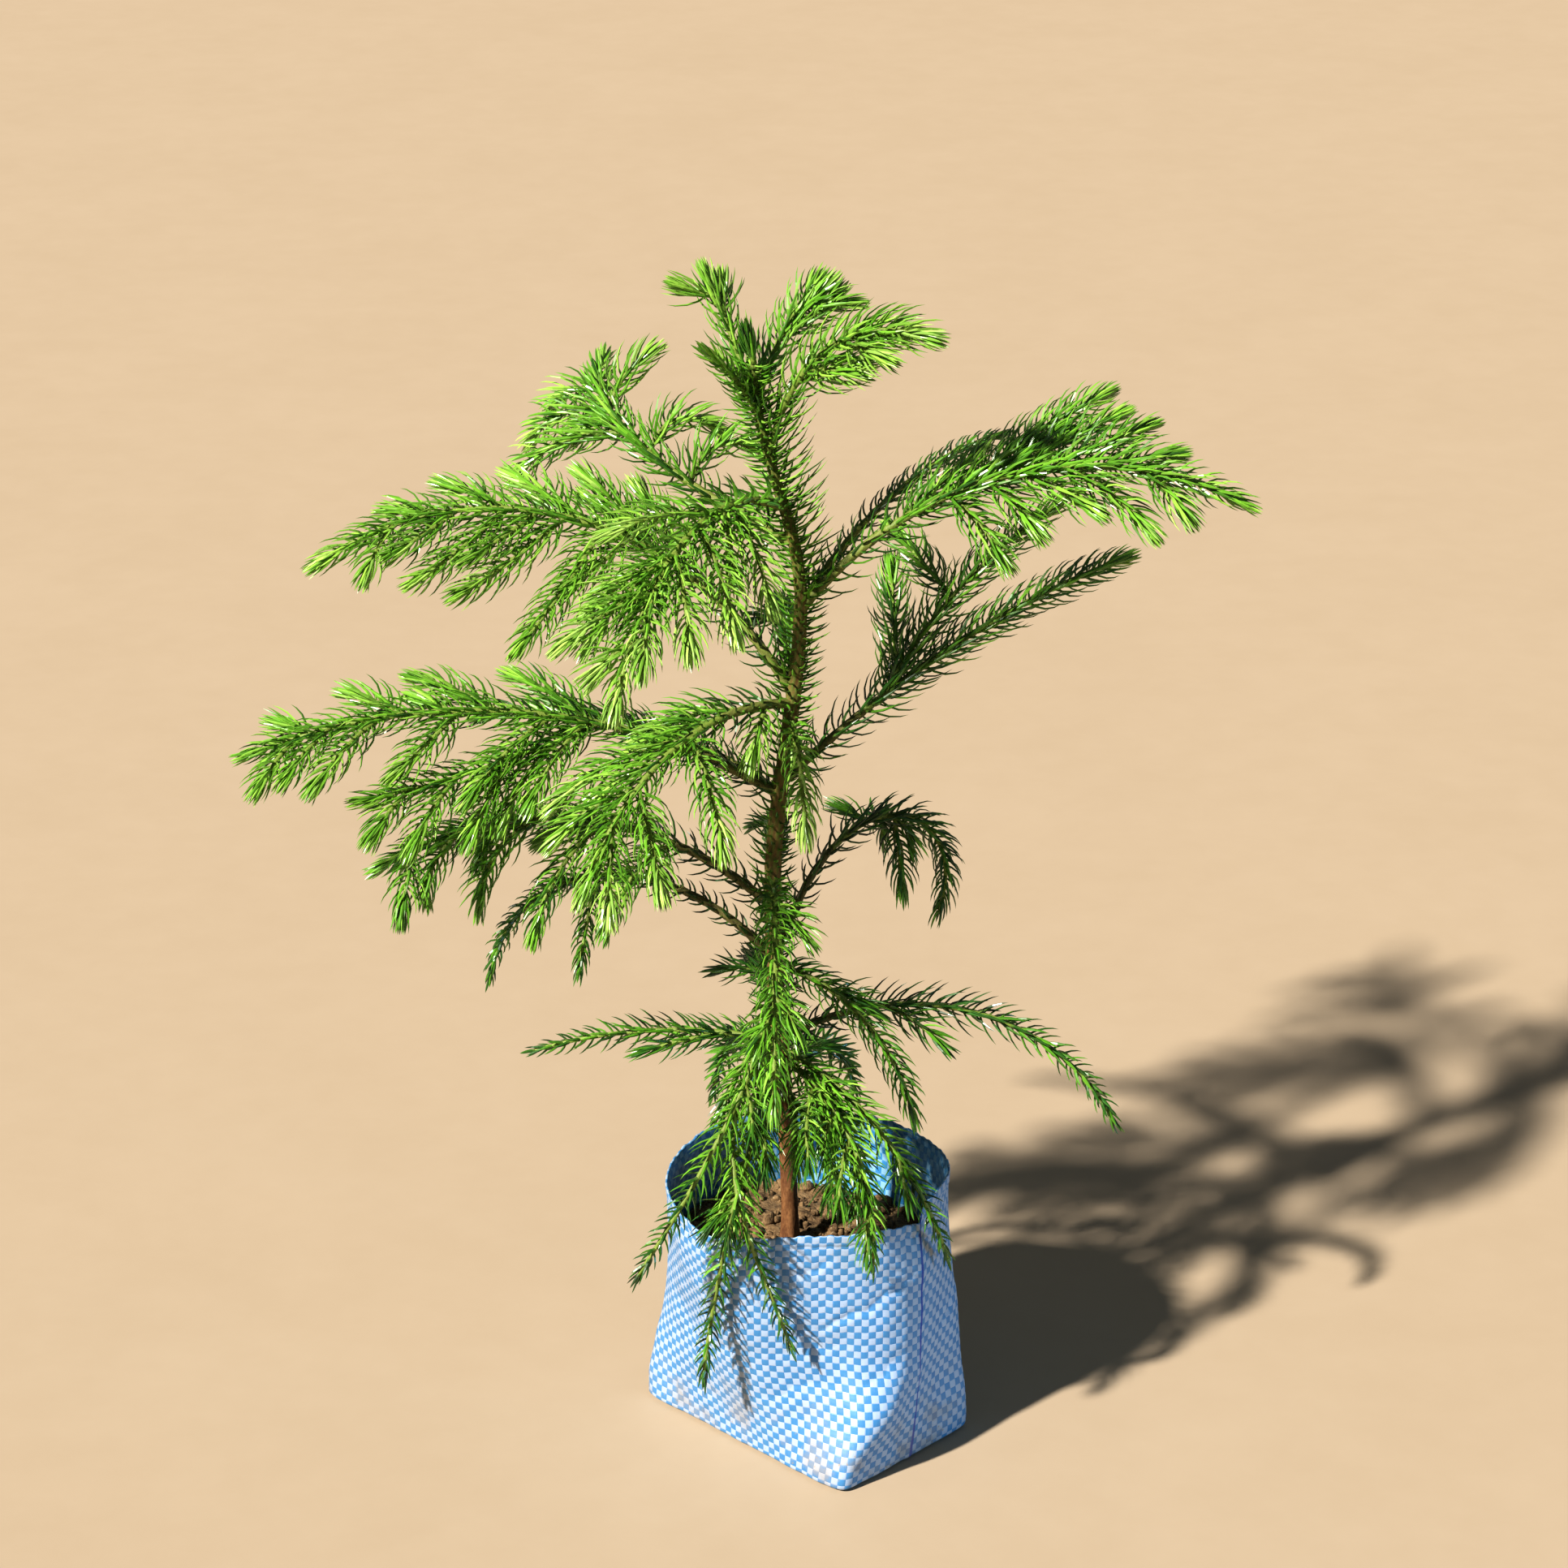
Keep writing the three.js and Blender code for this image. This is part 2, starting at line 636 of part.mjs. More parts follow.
const araucaria = new THREE.Group();

function addPiece(name, solid, finish) {
  const mesh = solid.getMesh();
  const geometry = new THREE.BufferGeometry();
  geometry.setAttribute('position', new THREE.BufferAttribute(mesh.vertProperties, 3));
  geometry.setIndex(new THREE.BufferAttribute(mesh.triVerts, 1));
  geometry.computeVertexNormals();
  const material = new THREE.MeshStandardMaterial({ ...finish, metalness: 0, flatShading: true });
  const piece = new THREE.Mesh(geometry, material);
  piece.name = name;
  araucaria.add(piece);
}

addPiece('grow_bag', makeBag(), finishes.bag);
addPiece('soil', makeSoil(), finishes.soil);

// Stems take their room first, then twigs, then needles.
takeRoom(trunkPath, trunkRadius, 'trunk');
const grown = boughs.map((bough) => {
  const node = `spray_${bough.name}`;
  const path = growPath(trunkPoint(bough.height), bough);
  const outsideTrunk = path.slice(1);
  takeRoom(outsideTrunk, stemRadius(bough), node);
  return { bough, node, path };
});
grown.forEach((growth) => {
  const twigs = twigsOf(growth.bough, growth.path).map((twig) => freeTwig(twig, growth.node));
  growth.twigs = twigs.filter((twig) => twig.length > shoot.shortest);
  growth.twigs.forEach((twig) => takeRoom(twig.path, twigRadius, growth.node));
});

const trunkClearance = makeTrunkClearance();
addPiece('trunk', makeTrunk(), finishes.bark);
grown.forEach(({ bough, node, path, twigs }) => {
  if (bough.limb > 0) {
    const limb = makeLimb(bough, path).subtract(trunkClearance);
    addPiece(`limb_${bough.name}`, largestPiece(limb), finishes.limb);
  }
  const spray = makeSpray(bough, path, twigs, node).subtract(trunkClearance);
  addPiece(node, largestPiece(spray), finishes.foliage);
});
addPiece('leader_tuft', makeLeader('leader_tuft'), finishes.foliage);

export default araucaria;
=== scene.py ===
import math

import bmesh
import bpy
import numpy as np
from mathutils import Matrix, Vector


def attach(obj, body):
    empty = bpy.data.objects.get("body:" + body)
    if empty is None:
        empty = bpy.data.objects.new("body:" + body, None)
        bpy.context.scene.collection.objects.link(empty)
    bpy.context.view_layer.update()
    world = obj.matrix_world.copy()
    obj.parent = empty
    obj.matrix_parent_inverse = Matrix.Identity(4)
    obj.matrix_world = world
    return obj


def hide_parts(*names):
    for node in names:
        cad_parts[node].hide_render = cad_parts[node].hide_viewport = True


# a young araucaria in a checked grow bag: growth is worked out in millimetres, and meshes are made in metres
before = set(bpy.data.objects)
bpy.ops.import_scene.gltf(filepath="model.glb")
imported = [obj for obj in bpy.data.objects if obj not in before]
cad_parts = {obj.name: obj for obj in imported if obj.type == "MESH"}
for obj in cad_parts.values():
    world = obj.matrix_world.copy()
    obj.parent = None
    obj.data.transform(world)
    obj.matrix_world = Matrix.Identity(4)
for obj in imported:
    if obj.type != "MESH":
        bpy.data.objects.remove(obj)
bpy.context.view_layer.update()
mm = 0.001
scene = bpy.context.scene


def chance(seed):
    wave = math.sin(seed * 127.1 + 311.7) * 43758.5453
    return wave - math.floor(wave)


def mix(a, b, share):
    return a + (b - a) * share


def smoothStep(value, low, high):
    share = np.clip((value - low) / (high - low), 0, 1)
    return share * share * (3 - 2 * share)


def bell(apart, width):
    return np.exp(-(apart / width) ** 2)


def unit(vectors):
    return vectors / np.maximum(np.linalg.norm(vectors, axis=-1, keepdims=True), 1e-9)


def heading(bearing, rise):
    b, r = math.radians(bearing), math.radians(rise)
    return np.array([math.cos(r) * math.cos(b), math.cos(r) * math.sin(b), math.sin(r)])


# points round the middle, with a height if one is given
def polar(radius, bearing, *height):
    angle = np.radians(bearing)
    return np.stack([radius * np.cos(angle), radius * np.sin(angle), *height], axis=-1)


def bearingOf(points):
    return np.degrees(np.arctan2(points[:, 1], points[:, 0]))


# value noise on a lattice, from -1 to 1
def lumps(points, size, seed):
    place = np.asarray(points, float) / size + seed * 17.31
    cell = np.floor(place).astype(np.int64)
    part = place - cell
    part = part * part * (3 - 2 * part)
    total = np.zeros(len(place))
    for corner in np.ndindex(2, 2, 2):
        key = (cell + np.array(corner)) @ np.array([73856093, 19349663, 83492791])
        value = np.sin((key % 100003) * 12.9898 + seed) * 43758.5453
        value -= np.floor(value)
        total += np.prod(np.where(corner, part, 1 - part), axis=1) * value
    return total * 2 - 1


# points in millimetres; faces is a list of index arrays, one for each number of corners; uv by point or by corner
def makePiece(name, points, faces, material, replaces=(), uv=None, values=None, smooth=True):
    mesh = bpy.data.meshes.new(name)
    corners = np.concatenate([f.ravel() for f in faces]).astype(np.int32)
    totals = np.concatenate([np.full(len(f), f.shape[1]) for f in faces])
    starts = np.concatenate([[0], np.cumsum(totals)[:-1]]).astype(np.int32)
    mesh.vertices.add(len(points))
    mesh.vertices.foreach_set("co", (np.asarray(points) * mm).astype(np.float32).ravel())
    mesh.loops.add(len(corners))
    mesh.loops.foreach_set("vertex_index", corners)
    mesh.polygons.add(len(totals))
    mesh.polygons.foreach_set("loop_start", starts)
    mesh.update(calc_edges=True)
    if smooth:
        mesh.shade_smooth()
    else:
        mesh.shade_flat()
    if uv is not None:
        perCorner = uv[corners] if len(uv) == len(points) else uv
        mesh.uv_layers.new(name="layout").uv.foreach_set("vector", perCorner.astype(np.float32).ravel())
    for key, value in (values or {}).items():
        attribute = mesh.attributes.new(key, "FLOAT", "POINT")
        attribute.data.foreach_set("value", np.asarray(value, np.float32))
    piece = bpy.data.objects.new(name, mesh)
    scene.collection.objects.link(piece)
    mesh.materials.append(material)
    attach(piece, "root")
    if replaces:
        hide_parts(*replaces)
    print("made", name, int((totals - 2).sum()), "triangles")


# quads between rings of points that follow each other
def ringFaces(ringCount, roundCount, offset=0):
    ring = np.arange(ringCount - 1)[:, None] * roundCount
    here = np.arange(roundCount)[None, :]
    after = (here + 1) % roundCount
    quads = np.stack([ring + here, ring + after, ring + roundCount + after, ring + roundCount + here], axis=-1)
    return quads.reshape(-1, 4) + offset


# triangles from a ring to one point
def fanFaces(start, roundCount, centre, forward):
    here = start + np.arange(roundCount)
    after = start + (np.arange(roundCount) + 1) % roundCount
    order = [here, after] if forward else [after, here]
    return np.stack(order + [np.full(roundCount, centre)], axis=-1)


def ringAngles(sides):
    return np.linspace(0, 2 * np.pi, sides, endpoint=False)


# frames along a path, carried without turning
def carriedFrames(path):
    forward = unit(np.gradient(path, axis=0))
    reference = np.array([1.0, 0, 0]) if abs(forward[0][2]) > 0.9 else np.array([0, 0, 1.0])
    side = np.cross(reference, forward[0])
    sides = []
    for way in forward:
        side = side - way * side.dot(way)
        side = side / np.linalg.norm(side)
        sides.append(side)
    sides = np.array(sides)
    return forward, sides, np.cross(forward, sides)


# outward ways round a path, one ring for each of its points
def outwardWays(path, sides):
    _, side, over = carriedFrames(path)
    angle = ringAngles(sides)
    return side[:, None] * np.cos(angle)[None, :, None] + over[:, None] * np.sin(angle)[None, :, None]


class Tubes:
    def __init__(self):
        self.points, self.quads, self.tris, self.values, self.count = [], [], [], [], 0

    # radii and green may be one number for each ring, or one for each point of each ring
    def add(self, path, radii, sides, green):
        radii = np.asarray(radii)
        radii = radii[:, None, None] if radii.ndim == 1 else radii[:, :, None]
        rings = path[:, None] + outwardWays(path, sides) * radii
        start = self.count
        self.points += [rings.reshape(-1, 3), path[[0, -1]]]
        self.quads.append(ringFaces(len(path), sides, start))
        first = start + len(path) * sides
        self.tris.append(fanFaces(start, sides, first, False))
        self.tris.append(fanFaces(first - sides, sides, first + 1, True))
        green = np.broadcast_to(np.asarray(green, float).reshape(len(path), -1), (len(path), sides))
        self.values += [green.ravel(), green[[0, -1], 0]]
        self.count = first + 2

    def piece(self, name, material, slot, replaces):
        makePiece(name, np.concatenate(self.points), [np.concatenate(self.quads), np.concatenate(self.tris)],
                  material, replaces, values={"green": np.concatenate(self.values)})


# shader nodes of one tree
class Nodes:
    def __init__(self, tree):
        self.tree = tree

    def link(self, value, socket):
        self.tree.links.new(value, socket)

    def fill(self, node, inputs):
        for key, value in inputs.items():
            if isinstance(value, bpy.types.NodeSocket):
                self.link(value, node.inputs[key])
            else:
                node.inputs[key].default_value = value
        return node.outputs

    def add(self, kind, inputs=None, **settings):
        node = self.tree.nodes.new(kind)
        for key, value in settings.items():
            setattr(node, key, value)
        return self.fill(node, inputs or {})

    def group(self, group, inputs):
        node = self.tree.nodes.new("ShaderNodeGroup")
        node.node_tree = group
        return self.fill(node, inputs)

    def maths(self, operation, a, b=0.0, c=0.0):
        return self.add("ShaderNodeMath", {0: a, 1: b, 2: c}, operation=operation)[0]

    def times(self, a, b):
        return self.maths("MULTIPLY", a, b)

    def less(self, a, b):
        return self.maths("SUBTRACT", a, b)

    def blend(self, share, a, b, kind="MIX"):
        return self.add("ShaderNodeMix", {0: share, 6: a, 7: b}, data_type="RGBA", blend_type=kind)[2]

    def ramp(self, value, low, high):
        return self.add("ShaderNodeMapRange", {0: value, 1: low, 2: high}, interpolation_type="SMOOTHSTEP")[0]

    def noise(self, place, scale, detail=3.0, rough=0.55):
        inputs = {"Vector": place, "Scale": scale, "Detail": detail, "Roughness": rough}
        return self.add("ShaderNodeTexNoise", inputs)[0]

    def scaled(self, place, factors):
        return self.add("ShaderNodeVectorMath", {0: place, 1: factors}, operation="MULTIPLY")[0]

    def split(self, vector):
        return self.add("ShaderNodeSeparateXYZ", {0: vector})

    def place(self):
        return self.add("ShaderNodeTexCoord")["Object"]

    def layout(self):
        return self.add("ShaderNodeUVMap", uv_map="layout")[0]

    def value(self, name):
        return self.add("ShaderNodeAttribute", attribute_name=name, attribute_type="GEOMETRY")["Fac"]

    def bump(self, shader, height, strength, distance):
        inputs = {"Strength": strength, "Distance": distance, "Height": height}
        self.link(self.add("ShaderNodeBump", inputs)[0], shader["Normal"])


def newMaterial(name, roughness, specular=0.5):
    material = bpy.data.materials.new(name)
    material.use_nodes = True
    shader = material.node_tree.nodes["Principled BSDF"].inputs
    shader["Roughness"].default_value = roughness
    shader["Specular IOR Level"].default_value = specular
    return material, Nodes(material.node_tree), shader


def newGroup(name, inputs, outputs):
    group = bpy.data.node_groups.new(name, "ShaderNodeTree")
    for label, kind, value in inputs:
        group.interface.new_socket(name=label, in_out="INPUT", socket_type=kind).default_value = value
    for label, kind in outputs:
        group.interface.new_socket(name=label, in_out="OUTPUT", socket_type=kind)
    return group, Nodes(group), group.nodes.new("NodeGroupInput").outputs, group.nodes.new("NodeGroupOutput").inputs


colourKind, floatKind, vectorKind = "NodeSocketColor", "NodeSocketFloat", "NodeSocketVector"


# two colours mottled into each other, with a height for bump
def makeMottleGroup():
    group, nodes, given, out = newGroup("mottle", [
        ("Dark", colourKind, (0.1, 0.1, 0.1, 1)), ("Light", colourKind, (0.5, 0.5, 0.5, 1)),
        ("Size", floatKind, 100.0), ("Stretch", vectorKind, (1, 1, 1)), ("Sharpness", floatKind, 0.2),
    ], [("Colour", colourKind), ("Height", floatKind)])
    place = nodes.scaled(nodes.place(), given["Stretch"])
    broad = nodes.noise(place, given["Size"], 4.0, 0.6)
    fine = nodes.noise(place, nodes.times(given["Size"], 4.3), 3.0, 0.6)
    both = nodes.maths("MULTIPLY_ADD", fine, 0.45, nodes.times(broad, 0.55))
    share = nodes.ramp(both, nodes.less(0.5, given["Sharpness"]), nodes.maths("ADD", 0.5, given["Sharpness"]))
    nodes.link(nodes.blend(share, given["Dark"], given["Light"]), out["Colour"])
    nodes.link(both, out["Height"])
    return group


# dry earth that clings low down and in specks
def makeDustGroup():
    group, nodes, given, out = newGroup("earthDust", [
        ("Base", colourKind, (0.5, 0.5, 0.5, 1)), ("Earth", colourKind, (0.42, 0.3, 0.19, 1)),
        ("Top", floatKind, 0.03), ("Amount", floatKind, 0.5),
    ], [("Colour", colourKind), ("Mask", floatKind)])
    place = nodes.place()
    low = nodes.less(1.0, nodes.ramp(nodes.split(place)[2], 0.0, given["Top"]))
    cloud = nodes.ramp(nodes.noise(place, 55.0, 5.0, 0.62), 0.46, 0.68)
    speck = nodes.ramp(nodes.noise(place, 620.0, 2.0, 0.5), 0.66, 0.72)
    mask = nodes.times(nodes.maths("MULTIPLY_ADD", low, cloud, nodes.times(speck, low)), given["Amount"])
    mask = nodes.add("ShaderNodeClamp", {0: mask})[0]
    nodes.link(nodes.blend(mask, given["Base"], given["Earth"]), out["Colour"])
    nodes.link(mask, out["Mask"])
    return group


mottleGroup = makeMottleGroup()
dustGroup = makeDustGroup()


# the grow bag
bag = {
    "rimHeight": 111, "rimWave": 1.6, "rimRadius": 57, "turn": -44, "belly": 1.5,
    "baseHalfLength": 59, "baseHalfWidth": 39.5, "baseThickness": 0.9,
    # how square the outline is: at the ground, higher up, and at two folds, given by bearing and width
    "cornerSquareness": 15, "baseSquareness": 9, "foldSquareness": 4.5, "folds": [(-60, 45), (170, 40)],
    "foldLean": 24, "leanAt": (-62, 40), "foldTop": 0.5,
    "flatBearing": -94, "flatDistance": 48.5, "flatReach": 75, "flatBlend": 24.0,
    # size, turn past the seam, width
    "rimFlare": (2.5, 38, 22), "sideFlat": (3.4, 215, 45),
    "sag": 1.5, "sagSize": 26, "rumple": 0.55, "rumpleSize": 9, "ragged": [(0.25, 31), (0.2, 73)],
    "wall": 0.55, "tapes": 120, "rows": 37, "pointsPerTape": 4, "weaveDepth": 0.13, "underTape": 3.3,
    "hemWidth": 4.6, "hemThickness": 0.35, "hemSoft": 0.7, "groove": 0.3, "grooveBelow": 0.4, "grooveWidth": 0.5,
    "seamBearing": -43, "seamLean": 8, "lap": 0.55, "lapFrom": -7, "lapTo": -1, "lapEnd": 0.4,
    "edgeRound": 1.4, "edgeHeight": 2.2, "margin": 1.5,
    # the lining: its lowest share that shows, its clearance there, then rings under the soil and their clearance
    "liningFrom": 0.6, "liningInset": 0.3, "hiddenRings": (0.52, 0.4, 0.28, 0.16, 0.02), "hiddenInset": 1.9,
    "blue": (0.045, 0.205, 0.45, 1), "white": (0.37, 0.445, 0.57, 1), "shade": (0.29, 0.38, 0.53, 1),
    # the seam colour is a painted shadow line along the lapped side seam
    "gap": (0.13, 0.24, 0.45, 1), "rubbed": (0.34, 0.4, 0.5, 1), "seamShadowBlue": (0.008, 0.06, 0.34, 1),
    # the lining tint is painted shade: it makes the inside of the cloth bluer and darker
    "lining": (0.62, 0.95, 1.0, 1), "earth": (0.3, 0.22, 0.13, 1),
    # height of the cut edge at turns past the seam; it stands higher on one side of the seam
    "edge": [(0, 110.8), (2.5, 112.6), (7, 113.6), (40, 114), (100, 111), (180, 111), (225, 108), (261, 104.5),
             (285, 106.5), (305, 108.8), (340, 110), (352, 107.6), (360, 106.2)],
    # creases: round and up at each end in millimetres from the seam and the ground, depth, width
    "creases": [(-56, 88.8, -43, 97.7, 0.7, 1.6), (-46, 66.3, -24, 76.6, 0.85, 1.7), (-26, 75.6, -7, 86.1, 0.75, 2.1),
                (-100, 70, -84, 82, 0.6, 2.6), (-72, 30, -50, 40, 0.6, 2.8), (14, 52, 30, 64, 0.8, 2.0),
                (-64, 52, -40, 58, 0.5, 3.0), (-30, 40, -12, 52, 0.6, 2.6), (-96, 44, -80, 52, 0.5, 3.0)],
}


def turnFrom(bearing, centre):
    return (bearing - centre + 180) % 360 - 180


# the cloth: square at the base, with a flattened front and a fold that leans to the seam as it rises
def clothRadius(bearing, up):
    rise = smoothStep(up, 0, bag["foldTop"])
    soft = np.clip(sum(bell(turnFrom(bearing, centre), width) for centre, width in bag["folds"]), 0, 1)
    power = mix(bag["cornerSquareness"], mix(bag["baseSquareness"], bag["foldSquareness"], soft), rise)
    centre, width = bag["leanAt"]
    leaning = bearing - bag["foldLean"] * rise * bell(turnFrom(bearing, centre), width)
    apart = np.clip(turnFrom(bearing, bag["flatBearing"]), -bag["flatReach"], bag["flatReach"])
    flat, blend = bag["flatDistance"] / np.cos(np.radians(apart)), bag["flatBlend"]
    rim = (bag["rimRadius"] ** -blend + flat ** -blend) ** (-1 / blend)
    angle = np.radians(leaning - bag["turn"])
    along = np.abs(np.cos(angle)) / bag["baseHalfLength"]
    across = np.abs(np.sin(angle)) / bag["baseHalfWidth"]
    base = (along ** power + across ** power) ** (-1 / power)
    return mix(base, rim, smoothStep(up, 0, 1)) + bag["belly"] * np.sin(np.pi * up)


def rimHeight(bearing):
    return bag["rimHeight"] + bag["rimWave"] * np.sin(np.radians(3 * bearing))


def visibleRim(turnPastSeam):
    turns, heights = zip(*bag["edge"])
    ragged = sum(size * np.sin(np.radians(turnPastSeam * waves)) for size, waves in bag["ragged"])
    return np.interp(turnPastSeam, turns, heights) + ragged


def pastSeam(bearing, up):
    return (bearing - bag["seamBearing"] - bag["seamLean"] * up) % 360


# the cloth with its flared rim and flattened side
def wallRadius(bearing, up):
    turn = pastSeam(bearing, up)
    flare, flareTurn, flareWidth = bag["rimFlare"]
    press, pressTurn, pressWidth = bag["sideFlat"]
    radius = clothRadius(bearing, up) + flare * up ** 4 * bell(turn - flareTurn, flareWidth)
    return radius - press * (0.3 + 0.7 * np.sin(np.pi * up)) * bell(turn - pressTurn, pressWidth)


def wallSag(place):
    sag = bag["sag"] * lumps(place, bag["sagSize"], 3) * smoothStep(place[:, 2], 2, 30)
    return sag + bag["rumple"] * lumps(place, bag["rumpleSize"], 5)


# evenly spaced points round the bag at one height, from the seam, with their outward ways
def bagRing(up, count):
    turn = np.linspace(0, 360, 2881)
    bearing = bag["seamBearing"] + bag["seamLean"] * up + turn
    curve = polar(wallRadius(bearing, up), bearing)
    length = np.concatenate([[0], np.cumsum(np.linalg.norm(np.diff(curve, axis=0), axis=1))])
    wanted = np.linspace(0, length[-1], count, endpoint=False)
    ring = np.stack([np.interp(wanted, length, curve[:, axis]) for axis in range(2)], axis=1)
    way = unit(np.roll(ring, -1, axis=0) - np.roll(ring, 1, axis=0))
    around = np.where(wanted > length[-1] / 2, wanted - length[-1], wanted)
    return ring, np.stack([way[:, 1], -way[:, 0]], axis=1), np.interp(wanted, length, turn), around


def creaseDent(around, height):
    dent = np.zeros_like(around)
    for x0, z0, x1, z1, depth, width in bag["creases"]:
        run = np.array([x1 - x0, z1 - z0])
        share = np.clip(((around - x0) * run[0] + (height - z0) * run[1]) / run.dot(run), 0, 1)
        sway = 0.9 * np.sin(share * 7 + x0) + 0.5 * np.sin(share * 17 + z0)  # no crease is straight
        above = height - z0 - share * run[1] - sway
        away = np.hypot(around - x0 - share * run[0], above)
        fade = np.sin(np.pi * mix(0.12, 0.88, share))
        dent -= depth * fade * bell(away, width)
        dent += 0.55 * depth * fade * bell(away, 2.6 * width) * (above < 0)  # cloth stands proud below
    return dent


# one ring of the wall; the crowns of the tapes stand up where a row of the weave is given
def bagWall(up, inset, weaveRow=None):
    count = bag["tapes"] * bag["pointsPerTape"]
    ring, out, turns, around = bagRing(up, count)
    height = up * visibleRim(turns)
    below = visibleRim(turns) - height
    push = np.full(count, -float(inset))
    if weaveRow is not None:
        tape = np.arange(count) / bag["pointsPerTape"]
        parity = (np.floor(tape + 1e-6) + math.floor(weaveRow + 1e-6)) % 2
        crown = np.where(parity < 0.5, abs(math.sin(np.pi * (weaveRow % 1))), np.abs(np.sin(np.pi * (tape % 1))))
        push += bag["weaveDepth"] * crown
    push += wallSag(np.column_stack([ring, height])) + creaseDent(around, height)
    push += bag["hemThickness"] * (1 - smoothStep(below, bag["hemWidth"] - bag["hemSoft"], bag["hemWidth"]))
    push -= bag["groove"] * bell(below - bag["hemWidth"] - bag["grooveBelow"], bag["grooveWidth"])
    push += bag["lap"] * smoothStep(around, bag["lapFrom"], bag["lapTo"]) * (around < bag["lapEnd"])
    push -= bag["edgeRound"] * (1 - smoothStep(height, 0, bag["edgeHeight"])) ** 2
    return np.column_stack([ring + out * push[:, None], height])


def makeBag(material):
    rows, perTape = bag["rows"], bag["pointsPerTape"]
    count, rowCount = bag["tapes"] * perTape, rows * perTape
    rings, vees = [bagWall(0.0, bag["baseThickness"])], [-0.4]
    for row in range(1, rowCount + 1):
        rings.append(bagWall(row / rowCount, 0, row / perTape))
        vees.append(row / perTape)
    rings.append(rings[-1] * np.array([0.996, 0.996, 1]) + np.array([0, 0, 0.25]))  # the cut edge
    vees.append(rows + 0.1)
    lining = [(row / rowCount, bag["liningInset"]) for row in range(rowCount, int(rowCount * bag["liningFrom"]), -2)]
    for up, inset in lining + [(up, bag["hiddenInset"]) for up in bag["hiddenRings"]]:
        rings.append(bagWall(up, bag["wall"] + inset))
        vees.append(2 * rows + 1 - up * rows)
    rings[-1][:, 2] = bag["baseThickness"]
    quads = ringFaces(len(rings), count)
    column = np.tile(np.arange(count), len(rings) - 1)
    row = np.repeat(np.arange(len(rings) - 1), count)
    u = np.stack([column, column + 1, column + 1, column], axis=-1) / perTape
    vee = np.array(vees)
    v = np.stack([vee[row], vee[row], vee[row + 1], vee[row + 1]], axis=-1)
    # the flat underside, and the floor inside
    floorStart = len(rings) * count
    inner = [rings[0] * scale for scale in (0.7, 0.4, 0.15)]
    points = np.concatenate([*rings, *inner, [[0, 0, 0], [0, 0, bag["baseThickness"]]]])
    under = np.concatenate([np.arange(count)[None], floorStart + np.arange(3 * count).reshape(3, count)])
    nextUnder = np.roll(under, -1, axis=1)
    underQuads = np.stack([under[:-1], under[1:], nextUnder[1:], nextUnder[:-1]], axis=-1).reshape(-1, 4)
    centre = len(points) - 2
    tris = np.concatenate([
        fanFaces(floorStart + 2 * count, count, centre, False),
        fanFaces((len(rings) - 1) * count, count, centre + 1, True),
    ])
    flat = points[:, :2] / bag["underTape"]
    uv = np.concatenate([np.stack([u, v], axis=-1).reshape(-1, 2), flat[underQuads.ravel()], flat[tris.ravel()]])
    faces = [np.concatenate([quads, underQuads]), tris]
    makePiece("growBag", points, faces, material, ["grow_bag"], uv=uv)


